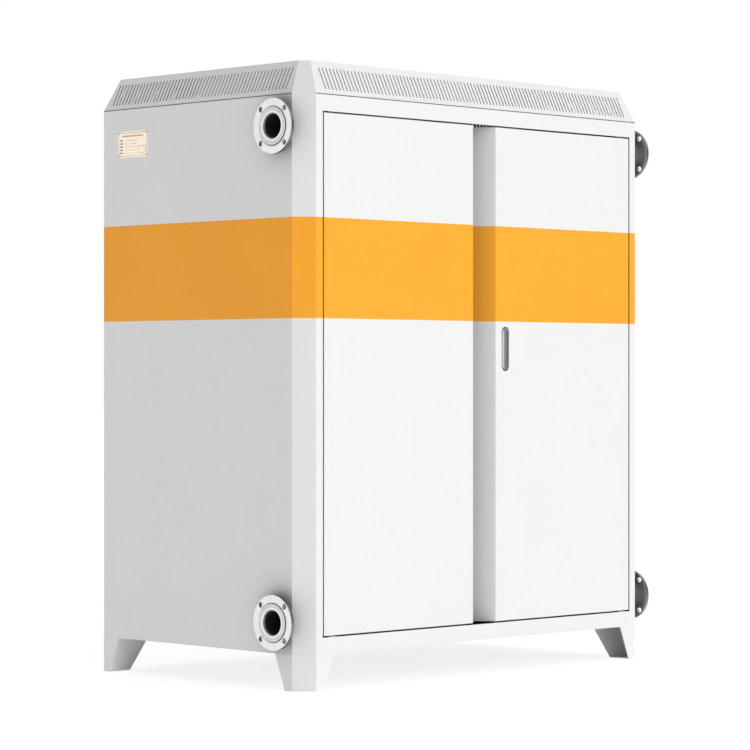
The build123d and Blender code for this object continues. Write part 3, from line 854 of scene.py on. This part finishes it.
def make_plate():
    low, high = (Vector(c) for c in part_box("rating_plate"))
    thick, wide, tall = high - low
    place = along((high.x, (low.y + high.y) / 2, (low.z + high.z) / 2), (-1, 0, 0))
    mesh = bmesh.new()
    face = thick * 0.75
    steps = ((0.0, 0.0), (0.0, thick * 0.55), (PLATE_EDGE, face))
    loft(mesh, [rounded_ring(wide / 2 - i, tall / 2 - i, PLATE_CORNER, z) for i, z in steps])

    def bar(x, y, half_x, half_y):
        low_corner = (x - half_x, y - half_y, face - PLATE_INK)
        high_corner = (x + half_x, y + half_y, face + PLATE_INK)
        block(mesh, low_corner, high_corner, 0.02 * MM, finish=1)

    x, y = wide / 2 - PLATE_BORDER, tall / 2 - PLATE_BORDER
    for sign in (1, -1):
        bar(0, sign * y, x, PLATE_LINE / 2)
        bar(sign * x, 0, PLATE_LINE / 2, y)
    for i in range(TITLE_MARKS):
        bar(x * (-0.68 + 1.36 * i / (TITLE_MARKS - 1)), y * 0.72, *TITLE_HALF)
    for i in range(LABEL_ROWS):
        level = y * (0.36 - 0.27 * i)
        bar(-x * 0.8, level, *LABEL_HALF)
        bar(-x * 0.1, level - LABEL_HALF[1], x * 0.45, PLATE_LINE / 3)
    for level in (-0.2, -0.78):
        bar(x * 0.68, y * level, x * 0.24, PLATE_LINE / 2)
    for side in (0.44, 0.92):
        bar(x * side, y * -0.49, PLATE_LINE / 2, y * 0.29)
    for sx in (1, -1):
        for sy in (1, -1):
            spot = Matrix.Translation((sx * x, sy * y, face))
            dome = ((1.0, -0.2 * MM), (1.0, 0.05 * MM), (0.7, 0.2 * MM))
            loft(mesh, [ring(PLATE_RIVET * r, h, 20) for r, h in dome], spot, finish=2)
    piece("rating_plate_face", mesh, [plate_cream, plate_ink, weld_metal], "cabinet",
          ["rating_plate"], place)


make_plate()

# %% [markdown]
# ## Screws and nuts
# Fasteners tell the eye how a machine is put together. A pan head is a small dome with a cross
# recess, and a nut is a six-sided ring stack with chamfered corners. Both are made where they
# are needed and joined to the mesh that they hold, so that they don't become loose objects.

# %% Fasteners
def pan_screw(mesh, place, radius=4 * MM, head=2.4 * MM, finish=0):
    """A pan head with its cross recess as a dark bar of painted shade, standing on its own Z. It uses
    two finishes.
    """
    profile = ((1.0, 0.0), (1.0, 0.35), (0.9, 0.72), (0.68, 0.95), (0.42, 1.0))
    loft(mesh, [ring(radius * r, head * h, 20) for r, h in profile], place, finish=finish)
    arm, half = radius * 0.55, radius * 0.11
    for turn in (0, pi / 2):
        spot = place @ Matrix.Rotation(turn, 4, "Z")
        # The cross recess is a dark bar on the dome: painted shade, not a cut.
        block(mesh, (-arm, -half, head * 0.9), (arm, half, head * 1.04), 0.1 * MM, spot, finish + 1)


def hex_nut(mesh, place, radius, height, finish=0):
    """A six-sided nut or bolt head with chamfered corners."""
    steps = ((0.93, 0.0), (1.0, 0.08), (1.0, 0.92), (0.93, 1.0))
    loft(mesh, [ring(radius * r, height * h, 6) for r, h in steps], place, finish=finish)


def spaced(low, high, pitch):
    """Evenly spaced values from low to high, about one pitch apart."""
    count = max(1, round((high - low) / pitch))
    return [low + (high - low) * i / count for i in range(count + 1)]


print("pan screw and hex nut ready")

# %% [markdown]
# ## Behind the doors: the two boiler modules
# Opening the doors shows two insulated heat exchangers side by side. Their jackets are rolled
# from coated sheet with round vertical corners, stand on a recessed plinth and are drawn
# together by two sunk seams. A stack of rounded rectangles, each a little wider or narrower,
# gives all of that in one clean surface. The covers and gauges sit on the front.

# %% Module jackets
PLINTH_INSET = 12 * MM
PLINTH_HEIGHT = 45 * MM
JACKET_INSET = 3 * MM
LID_HEIGHT = 40 * MM
SEAM_DEPTH = 4 * MM
SEAM_WIDTH = 8 * MM
SEAM_LEVELS = (0.42, 0.84)
COVER_HALF = 0.17
COVER_LOW, COVER_HIGH = 0.60, 1.02
COVER_RISE = 9 * MM
COVER_SCREW_INSET = 14 * MM
COVER_SCREW_PITCH = 0.2
GAUGE_RADIUS = 34 * MM
GAUGE_LEVEL = 1.12
GAUGE_TICKS = 11
GAUGE_SWEEP = 270
POINTER_TURN = -40
JACKET, LID, SCREW, BLACK, BRASS, DIAL = range(6)


def jacket_stack(half_x, half_y, height):
    """Rounded rectangles of the jacket from the plinth up, and the finish of each band."""
    steps = [
        (PLINTH_INSET, 0.0, LID),
        (PLINTH_INSET, PLINTH_HEIGHT, LID),
        (JACKET_INSET, PLINTH_HEIGHT, JACKET),
    ]
    for level in SEAM_LEVELS:
        steps += [
            (JACKET_INSET, level, JACKET),
            (JACKET_INSET + SEAM_DEPTH, level + SEAM_WIDTH * 0.2, JACKET),
            (JACKET_INSET + SEAM_DEPTH, level + SEAM_WIDTH * 0.8, JACKET),
            (JACKET_INSET, level + SEAM_WIDTH, JACKET),
        ]
    steps += [
        (JACKET_INSET, height - LID_HEIGHT, JACKET),
        (0.8 * MM, height - LID_HEIGHT, LID),
        (0.0, height - LID_HEIGHT + 1 * MM, LID),
        (0.0, height - 3 * MM, LID),
        (3 * MM, height, LID),
    ]
    rings = [rounded_ring(half_x - i, half_y - i, 30 * MM - i, z, 8) for i, z, _ in steps]
    return rings, [band for _, _, band in steps][:-1]


def gauge(mesh, place):
    """A plain round gauge with ticks and a pointer, facing along its own Z."""
    r = GAUGE_RADIUS
    case = [(r * 0.86, 0.002), (r * 0.9, 0.016), (r, 0.018), (r, 0.022), (r * 0.9, 0.024)]
    case += [(r * 0.88, 0.018)]
    loft(mesh, [ring(a, b, 48) for a, b in case], place, finish=BLACK)
    loft(mesh, [ring(r * 0.86, 0.0183, 48), ring(r * 0.86, 0.0186, 48)], place, finish=DIAL)
    for i in range(GAUGE_TICKS):
        turn = radians(GAUGE_SWEEP * (i / (GAUGE_TICKS - 1) - 0.5))
        tick_low, tick_high = (-0.3 * MM, r * 0.66, 18.6 * MM), (0.3 * MM, r * 0.8, 19 * MM)
        block(mesh, tick_low, tick_high, 0.1 * MM, place @ Matrix.Rotation(turn, 4, "Z"), BLACK)
    pointer = place @ Matrix.Rotation(radians(POINTER_TURN), 4, "Z")
    pointer_low, pointer_high = (-0.6 * MM, -r * 0.2, 19.4 * MM), (0.6 * MM, r * 0.62, 20 * MM)
    block(mesh, pointer_low, pointer_high, 0.2 * MM, pointer, BLACK)
    loft(mesh, [ring(3 * MM, 0.0185, 20), ring(3 * MM, 0.0212, 20)], place, finish=BRASS)


def make_module(name, low, high):
    middle = (low + high) / 2
    half = (high - low) / 2
    mesh = bmesh.new()
    rings, bands = jacket_stack(half.x, half.y, high.z - low.z)
    loft(mesh, rings, Matrix.Translation((middle.x, middle.y, low.z)), finish=bands)
    front = Matrix.Translation((middle.x, low.y + JACKET_INSET, low.z))
    cover_low, cover_high = (-COVER_HALF, -COVER_RISE, COVER_LOW), (COVER_HALF, 2 * MM, COVER_HIGH)
    block(mesh, cover_low, cover_high, 3 * MM, front, LID)
    levels = spaced(COVER_LOW + COVER_SCREW_INSET, COVER_HIGH - COVER_SCREW_INSET, COVER_SCREW_PITCH)
    for x in (COVER_SCREW_INSET - COVER_HALF, COVER_HALF - COVER_SCREW_INSET):
        for z in levels:
            # Each screw's cross recess takes the black finish as painted shade.
            pan_screw(mesh, front @ along((x, -COVER_RISE, z), (0, -1, 0)), finish=SCREW)
    gauge(mesh, front @ along((0, 0, GAUGE_LEVEL), (0, -1, 0)))
    piece(f"{name}_jacket", mesh, [jacket_coat, lid_coat, zinc, fan_black_and_recess_shade, brass, dial_face],
          "cabinet", [name])


for module_name in ("left_module", "right_module"):
    make_module(module_name, *(Vector(c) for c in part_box(module_name)))

# %% [markdown]
# ## The stand under the modules
# Two steel channels carry the weight on the base sheet. A channel is one profile pushed along
# its length, so it is lofted between two copies of a C shape.

# %% Channel bars
CHANNEL_WEB = 5 * MM
CHANNEL_FLANGE = 60 * MM


def make_stand():
    low, high = (Vector(c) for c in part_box("module_stand"))
    mesh = bmesh.new()
    for y0, way in ((low.y, 1), (high.y, -1)):
        web, back = CHANNEL_WEB * way, CHANNEL_FLANGE * way
        section = [
            (y0, low.z), (y0 + back, low.z), (y0 + back, low.z + CHANNEL_WEB),
            (y0 + web, low.z + CHANNEL_WEB), (y0 + web, high.z - CHANNEL_WEB),
            (y0 + back, high.z - CHANNEL_WEB), (y0 + back, high.z), (y0, high.z),
        ]
        loft(mesh, [[Vector((x, y, z)) for y, z in section] for x in (low.x, high.x)])
    piece("module_stand_channels", mesh, [frame_steel], "cabinet", ["module_stand"])


make_stand()

# %% [markdown]
# ## Branch pipes
# Each module takes its water from the lower header and gives it back to the upper one. A
# branch is bent tube, so it is a curve with a round bevel whose corner is rounded to the bend
# radius. Where it meets the header it is welded: a thin rod follows the saddle line that two
# crossing cylinders share.

# %% Branches
BRANCH_RADIUS = 30 * MM
BRANCH_BEND = 90 * MM
BEAD_RADIUS = 4.5 * MM
UNION_RADIUS = 43 * MM
UNION_HEIGHT = 46 * MM
UNION_SHARE = 0.94
RETURN_NUT_SETBACK = 70 * MM
FOOT_RING = ((46 * MM, 0.0), (46 * MM, 9 * MM), (44 * MM, 11 * MM))
PIPE, WELD, UNION = range(3)


def saddle_bead(mesh, x, level):
    """A weld bead where a branch along +Y leaves a header along X."""
    reach = BRANCH_RADIUS + 1 * MM
    points = []
    for i in range(48):
        turn = 2 * pi * i / 48
        rise = reach * sin(turn)
        skin_y = HEADER_Y + sqrt(PIPE_OUTER ** 2 - rise ** 2)
        points.append((x + reach * cos(turn), skin_y, level + rise))
    rod(mesh, points, BEAD_RADIUS, cyclic=True, finish=WELD, resolution=3)


def make_branches():
    riser_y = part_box("supply_branches")[1][1] - BRANCH_RADIUS
    module_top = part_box("left_module")[1][2]
    module_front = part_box("left_module")[0][1]
    branch_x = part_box("supply_branches")[1][0] - BRANCH_RADIUS
    start_y = HEADER_Y + sqrt(PIPE_OUTER ** 2 - BRANCH_RADIUS ** 2) + 1 * MM
    supply, back = bmesh.new(), bmesh.new()
    for x in (-branch_x, branch_x):
        route = [(x, start_y, SUPPLY_Z), (x, riser_y, SUPPLY_Z), (x, riser_y, module_top)]
        rod(supply, bent(route, BRANCH_BEND, 12), BRANCH_RADIUS, finish=PIPE, resolution=8)
        saddle_bead(supply, x, SUPPLY_Z)
        middle_z = (module_top + SUPPLY_Z) / 2
        for bottom, radius in ((middle_z - UNION_HEIGHT, 1.0), (middle_z, 0.94)):
            spot = Matrix.Translation((x, riser_y, bottom))
            hex_nut(supply, spot, UNION_RADIUS * radius, UNION_HEIGHT * UNION_SHARE, UNION)
        foot = Matrix.Translation((x, riser_y, module_top))
        loft(supply, [ring(r, h, 48) for r, h in FOOT_RING], foot, finish=PIPE)
        straight = [(x, start_y, RETURN_Z), (x, module_front, RETURN_Z)]
        rod(back, straight, BRANCH_RADIUS, finish=PIPE, resolution=8)
        saddle_bead(back, x, RETURN_Z)
        nut = along((x, module_front - RETURN_NUT_SETBACK, RETURN_Z), (0, 1, 0))
        hex_nut(back, nut, UNION_RADIUS, UNION_HEIGHT, UNION)
    finishes = [pipe_paint, weld_metal, brass]
    piece("supply_branch_pipes", supply, finishes, "cabinet", ["supply_branches"])
    piece("return_branch_pipes", back, finishes, "cabinet", ["return_branches"])


make_branches()

# %% [markdown]
# ## Burners
# A cast drum is bolted on each module, and a fan with its motor blows air into it. All of
# these are turned shapes on two axes. The motor's cooling ribs are a zigzag in its profile,
# and the fan's intake is closed by a wire guard, because a bare hole would be unsafe.

# %% Burner shapes
DRUM_STEPS = (
    (1.0, 0.0), (1.0, 0.1), (0.92, 0.12), (0.92, 0.86), (0.97, 0.88), (0.97, 0.98), (0.95, 1.0),
)
DRUM_BOLTS = 10
FAN_RADIUS = 0.12
FAN_WIDTH = 0.11
MOTOR_RADIUS = 60 * MM
MOTOR_LENGTH = 0.13
SHAFT_END = 50 * MM
FIN_PITCH = 7 * MM
FIN_DEPTH = 7 * MM
GUARD_RISE = 6 * MM
GUARD_HUB = 12 * MM
GUARD_REACH = 84 * MM
GUARD_SHARES = (0.25, 0.45, 0.65, 0.85)
INTAKE_RADIUS = 78 * MM
CAST, FAN, MOTOR, ZINC, RUBBER = range(5)


def motor_profile():
    """Radius and height of a ribbed motor, from the fan side out."""
    steps = [(SHAFT_END, 0.0), (MOTOR_RADIUS, 4 * MM), (MOTOR_RADIUS, 10 * MM)]
    height = 14 * MM
    while height + FIN_PITCH < MOTOR_LENGTH - 26 * MM:
        steps += [
            (MOTOR_RADIUS - FIN_DEPTH, height),
            (MOTOR_RADIUS - FIN_DEPTH, height + 0.5 * FIN_PITCH),
            (MOTOR_RADIUS, height + 0.55 * FIN_PITCH),
            (MOTOR_RADIUS, height + 0.9 * FIN_PITCH),
        ]
        height += FIN_PITCH
    end = MOTOR_LENGTH
    return steps + [(MOTOR_RADIUS, end - 22 * MM), (MOTOR_RADIUS, end - 6 * MM), (SHAFT_END, end)]


def wire_guard(mesh, place):
    """Concentric wires and four spokes over the fan's intake, at the low end of its own Z."""
    for share in GUARD_SHARES:
        circle = ring(75 * MM * share + GUARD_HUB, -GUARD_RISE, 40)
        rod(mesh, [place @ p for p in circle], 1.2 * MM, cyclic=True, finish=ZINC, resolution=2)
    for i in range(4):
        turn = i * pi / 2 + pi / 4
        ends = [Vector((r * cos(turn), r * sin(turn), -GUARD_RISE)) for r in (GUARD_HUB, GUARD_REACH)]
        rod(mesh, [place @ p for p in ends], 1.4 * MM, finish=ZINC, resolution=2)


def make_burner(name, way):
    low, high = (Vector(c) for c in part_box(name))
    module_low, module_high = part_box(name.replace("burner", "module"))
    centre_x = (module_low[0] + module_high[0]) / 2
    centre_y = (low.y + high.y) / 2
    drum_radius = (high.y - low.y) / 2
    drum_height = high.z - low.z - 2 * FAN_RADIUS
    fan_z = high.z - FAN_RADIUS
    mesh = bmesh.new()
    base = Matrix.Translation((centre_x, centre_y, low.z))
    drum = [ring(drum_radius * r, drum_height * h, 72) for r, h in DRUM_STEPS]
    loft(mesh, drum, base, finish=CAST)
    for i in range(DRUM_BOLTS):
        turn = Matrix.Rotation(2 * pi * i / DRUM_BOLTS, 4, "Z")
        spot = base @ turn @ Matrix.Translation((drum_radius * 0.96, 0, drum_height * 0.1))
        hex_nut(mesh, spot, 6 * MM, 5 * MM, ZINC)
    fan = along((centre_x + way * FAN_WIDTH / 2, centre_y, fan_z), (-way, 0, 0))
    scroll = ((1.0, 0.0), (1.0, 0.04), (0.94, 0.06), (0.94, 0.94), (1.0, 0.96), (1.0, 1.0))
    loft(mesh, [ring(FAN_RADIUS * r, FAN_WIDTH * h, 72) for r, h in scroll], fan, finish=FAN)
    half = FAN_WIDTH / 2
    outlet_low = (centre_x - half, centre_y - FAN_RADIUS, low.z + drum_height - 1 * MM)
    block(mesh, outlet_low, (centre_x + half, centre_y, fan_z), 2 * MM, finish=FAN)
    motor = fan @ Matrix.Translation((0, 0, FAN_WIDTH))
    loft(mesh, [ring(r, h, 64) for r, h in motor_profile()], motor, finish=MOTOR)
    rim = ((10, 1), (10, -3), (7, -7), (2, -3), (0, 1))
    lathe(mesh, [(INTAKE_RADIUS + r * MM, h * MM) for r, h in rim], fan, count=64, finish=ZINC)
    loft(mesh, [ring(INTAKE_RADIUS, -h * MM, 64) for h in (0.4, 0.8)], fan, finish=RUBBER)
    wire_guard(mesh, fan)
    piece(f"{name}_assembly", mesh, [cast_metal, fan_black_and_recess_shade, motor_coat, zinc, rubber], "cabinet",
          [name])


make_burner("left_burner", -1)
make_burner("right_burner", 1)

# %% [markdown]
# ## Flue
# The flue gases leave each module by a short square duct, join in a cross duct and rise to the
# collar in the roof. Sheet ducts are stiffened by flanges where they join, which read as thin
# raised bands. The collar is a plain tube whose upper lip is rolled for strength.

# %% Flue duct and collar
DUCT_BAND = 4 * MM
BAND_WIDTH = 22 * MM
DUCT_HALF = 0.1
DUCT_RISE = 0.23
DROP_HALF = 55 * MM
DROP_SETBACK = 60 * MM
DROP_BANDS = (1 * MM, 0.19)
COLLAR_WALL = 3 * MM


def banded(mesh, half, length, corner, place, bands):
    """A rounded square duct along its own Z with raised bands at the given heights."""
    steps = [(DUCT_BAND, 0.0)]
    for at in bands:
        steps += [
            (DUCT_BAND, at), (0.0, at + 1 * MM), (0.0, at + BAND_WIDTH - 1 * MM),
            (DUCT_BAND, at + BAND_WIDTH),
        ]
    steps.append((DUCT_BAND, length))
    rings = [rounded_ring(half - i, half - i, corner, z, 4) for i, z in steps]
    loft(mesh, rings, place)


def make_flue():
    low, high = (Vector(c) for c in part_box("flue_duct"))
    collar_low, collar_high = (Vector(c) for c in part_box("flue_collar"))
    middle_y = (low.y + high.y) / 2
    duct_low = low.z + DUCT_RISE
    module_x = (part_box("right_module")[0][0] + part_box("right_module")[1][0]) / 2
    drop_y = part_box("right_module")[1][1] - DROP_SETBACK
    mesh = bmesh.new()
    start = along((low.x, middle_y, duct_low + DUCT_HALF), (1, 0, 0))
    length = high.x - low.x
    bands = (2 * MM, (length - BAND_WIDTH) / 2, length - BAND_WIDTH - 2 * MM)
    banded(mesh, DUCT_HALF, length, 8 * MM, start, bands)
    for x in (-module_x, module_x):
        foot = Matrix.Translation((x, drop_y, low.z))
        banded(mesh, DROP_HALF, DUCT_RISE + 4 * MM, 6 * MM, foot, DROP_BANDS)
    radius = (collar_high.x - collar_low.x) / 2
    riser_low = duct_low + 2 * DUCT_HALF - 5 * MM
    riser = Matrix.Translation((0, middle_y, riser_low))
    rise = high.z - riser_low
    steps = ((0.0, 0.0), (0.0, 26 * MM), (3 * MM, 28 * MM), (3 * MM, rise - 30 * MM),
             (0.0, rise - 28 * MM), (0.0, rise))
    loft(mesh, [ring(radius - i, z, 96) for i, z in steps], riser)
    piece("flue_duct_sheet", mesh, [flue_steel], "cabinet", ["flue_duct"])
    tube = bmesh.new()
    top = collar_high.z - collar_low.z
    lip = ((0.0, 9.0), (1.6, 7.0), (2.4, 4.0), (1.4, 1.0), (-1.0, 0.0))
    profile = [(radius - COLLAR_WALL, 0), (radius, 0)]
    profile += [(radius + out * MM, top - down * MM) for out, down in lip]
    profile.append((radius - COLLAR_WALL, top - 1.5 * MM))
    lathe(tube, profile, Matrix.Translation((0, middle_y, collar_low.z)), count=128)
    piece("flue_collar_tube", tube, [flue_steel], "cabinet", ["flue_collar"])


make_flue()

# %% [markdown]
# ## Screws on the roof
# The roof sheet and the collar's plate are screwed down. The same screw function as before
# places one at each spot, all in a single mesh, which is lighter than an object for each screw.

# %% Roof screws
ROOF_INSET = 42 * MM
ROOF_PITCH = 0.24
PLATE_SCREW_INSET = (16 * MM, 45 * MM)
PLATE_SCREW_PITCH = 0.1


def make_roof_screws():
    mesh = bmesh.new()
    plate_low, plate_high = (Vector(c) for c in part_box("collar_flange"))
    roof_low, roof_high = (Vector(c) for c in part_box("hood_top"))
    along_x = spaced(roof_low.x + ROOF_INSET, roof_high.x - ROOF_INSET, ROOF_PITCH)
    along_y = spaced(roof_low.y + ROOF_INSET, roof_high.y - ROOF_INSET, ROOF_PITCH)
    spots = [(x, y, roof_high.z) for x in (along_x[0], along_x[-1]) for y in along_y]
    spots += [(x, y, roof_high.z) for x in along_x[1:-1] for y in (along_y[0], along_y[-1])]
    side, end = PLATE_SCREW_INSET
    for x in (plate_low.x + side, plate_high.x - side):
        for y in spaced(plate_low.y + end, plate_high.y - end, PLATE_SCREW_PITCH):
            spots.append((x, y, plate_high.z))
    for spot in spots:
        pan_screw(mesh, Matrix.Translation(spot))
    # The second finish is the painted shade of the cross recesses.
    piece("roof_screws", mesh, [zinc, fan_black_and_recess_shade], "cabinet")


make_roof_screws()

# %% [markdown]
# ## The white room
# The picture shows the boiler on pure white with almost no shadow. A room that is lit until it
# burns out would also burn out the paint. So the sky is made white for rays from the camera and
# for mirror-like reflections alone, with the Light Path node, and the light that falls on the
# object keeps a plain level: dark at the horizon and brighter towards the top.

# %% Sky
SKY_AT_HORIZON = 0.0
SKY_AT_TOP = 0.89


def seen_directly(tree):
    """1 for rays that the camera, a mirror or clear glass sends, 0 for light that falls."""
    path = node(tree, "LightPath").outputs
    mirrored = maths(tree, "MAXIMUM", path["Is Glossy Ray"], path["Is Transmission Ray"])
    return maths(tree, "MAXIMUM", path["Is Camera Ray"], mirrored)


def shown_or_lit(tree, lit, shown):
    """One level for the light that falls and another for what is seen directly."""
    inputs = {0: seen_directly(tree), 2: lit, 3: shown}
    return node(tree, "Mix", inputs, data_type="FLOAT").outputs[0]


def make_sky():
    world = bpy.data.worlds.new("soft_room")
    world.use_nodes = True
    bpy.context.scene.world = world
    tree = world.node_tree
    direction = node(tree, "TexCoord").outputs["Generated"]
    rise = node(tree, "SeparateXYZ", {0: direction}).outputs["Z"]
    level = ranged(tree, rise, SKY_AT_HORIZON, SKY_AT_TOP)
    background = tree.nodes["Background"]
    background.inputs["Color"].default_value = (1, 1, 1, 1)
    tree.links.new(shown_or_lit(tree, level, 1.0), background.inputs["Strength"])


make_sky()
print("sky from", SKY_AT_HORIZON, "at the horizon to", SKY_AT_TOP, "at the top")

# %% [markdown]
# ## The floor
# A white studio floor sends much light up, and that light shapes the lower faces of the flanges
# and the legs. The floor here is a diffuse surface, which takes the cabinet's shadow, with a
# glow added to it. Under the cabinet little light gets in, so the glow fades to nothing inside
# the outline of the frame's box. The glow that the camera sees stops short of full white and
# the lit surface makes up the rest, so that the shadow on the floor still shows.

# %% Floor
FLOOR_GLOW = 0.89
FLOOR_WHITE = 0.83
FLOOR_ALBEDO = 0.36
FLOOR_HALF = 60.0
FLOOR_DROP = 0.5 * MM
SHADE_REACH = 0.15


def open_floor(tree):
    """0 on the floor under the cabinet, where little light gets in, rising to 1 around it."""
    low, high = (Vector(c) for c in cad_box)
    half = ((high.x - low.x) / 2, (high.y - low.y) / 2, 0)
    spot = vectors(tree, "ABSOLUTE", {0: place_on_object(tree)})
    past = vectors(tree, "SUBTRACT", {0: spot, 1: half})
    parts = node(tree, "SeparateXYZ", {0: past}).outputs
    distance = maths(tree, "MAXIMUM", parts["X"], parts["Y"])
    return ranged(tree, distance, 0.0, 1.0, -SHADE_REACH, 0.0, interpolation_type="SMOOTHSTEP")


def make_sheet(name, size, material):
    """A flat square that dresses the room and isn't part of the boiler."""
    mesh = bmesh.new()
    bmesh.ops.create_grid(mesh, x_segments=1, y_segments=1, size=size)
    data = bpy.data.meshes.new(name)
    mesh.to_mesh(data)
    mesh.free()
    data.materials.append(material)
    sheet = bpy.data.objects.new(name, data)
    bpy.context.scene.collection.objects.link(sheet)
    return sheet


def make_floor():
    material, tree, shader = blank_material("pale_floor")
    tree.nodes.remove(shader)
    matt = node(tree, "BsdfDiffuse", {"Color": (FLOOR_ALBEDO,) * 3 + (1,)})
    glow = maths(tree, "MULTIPLY", open_floor(tree), FLOOR_GLOW)
    shine = node(tree, "Emission", {"Strength": shown_or_lit(tree, glow, FLOOR_WHITE)})
    both = node(tree, "AddShader", {0: matt.outputs[0], 1: shine.outputs[0]})
    tree.links.new(both.outputs[0], tree.nodes["Material Output"].inputs["Surface"])
    floor = make_sheet("pale_floor", FLOOR_HALF, material)
    floor.location.z = -FLOOR_DROP


make_floor()
print("floor glows at", FLOOR_GLOW, "around the cabinet")

# %% [markdown]
# ## The lamp and the dark card
# The doors are the brightest faces, so most of the light comes from the front, only a little
# above level. A sun lamp with a very wide disc acts as a big soft box and throws hardly any
# edge. Bright steel in an all white room looks like white plastic. A black card that only
# reflections can see gives it one dark side, as a photographer would.

# %% Lamp and card
FRONT_SUN = 2.15
FRONT_SUN_TURN = 20.0
SUN_RISE = 7.0
SUN_SIZE = 60.0
FLAG_PLACE = (5.0, -5.4, 1.6)
FLAG_TURN = 43.0
FLAG_SIZE = (9.0, 7.0, 1.0)


def make_front_lamp():
    data = bpy.data.lights.new("front_softbox", "SUN")
    data.energy = FRONT_SUN
    data.angle = radians(SUN_SIZE)
    lamp = bpy.data.objects.new("front_softbox", data)
    lamp.rotation_euler = (radians(90 - SUN_RISE), 0, radians(FRONT_SUN_TURN))
    lamp.visible_glossy = False
    bpy.context.scene.collection.objects.link(lamp)


def make_dark_flag():
    """A black card that only mirror-like reflections can see, at the front right."""
    card = coat("black_flag_cloth", (0.02, 0.02, 0.02), 0.9, grain=40)
    flag = make_sheet("dark_flag", 0.5, card)
    flag.location = FLAG_PLACE
    flag.rotation_euler = (radians(90), 0, radians(FLAG_TURN))
    flag.scale = FLAG_SIZE
    for kind in ("camera", "diffuse", "transmission", "shadow", "volume_scatter"):
        setattr(flag, f"visible_{kind}", False)


make_dark_flag()
make_front_lamp()
bpy.context.scene.view_settings.view_transform = "Standard"
print("lamp at strength", FRONT_SUN)
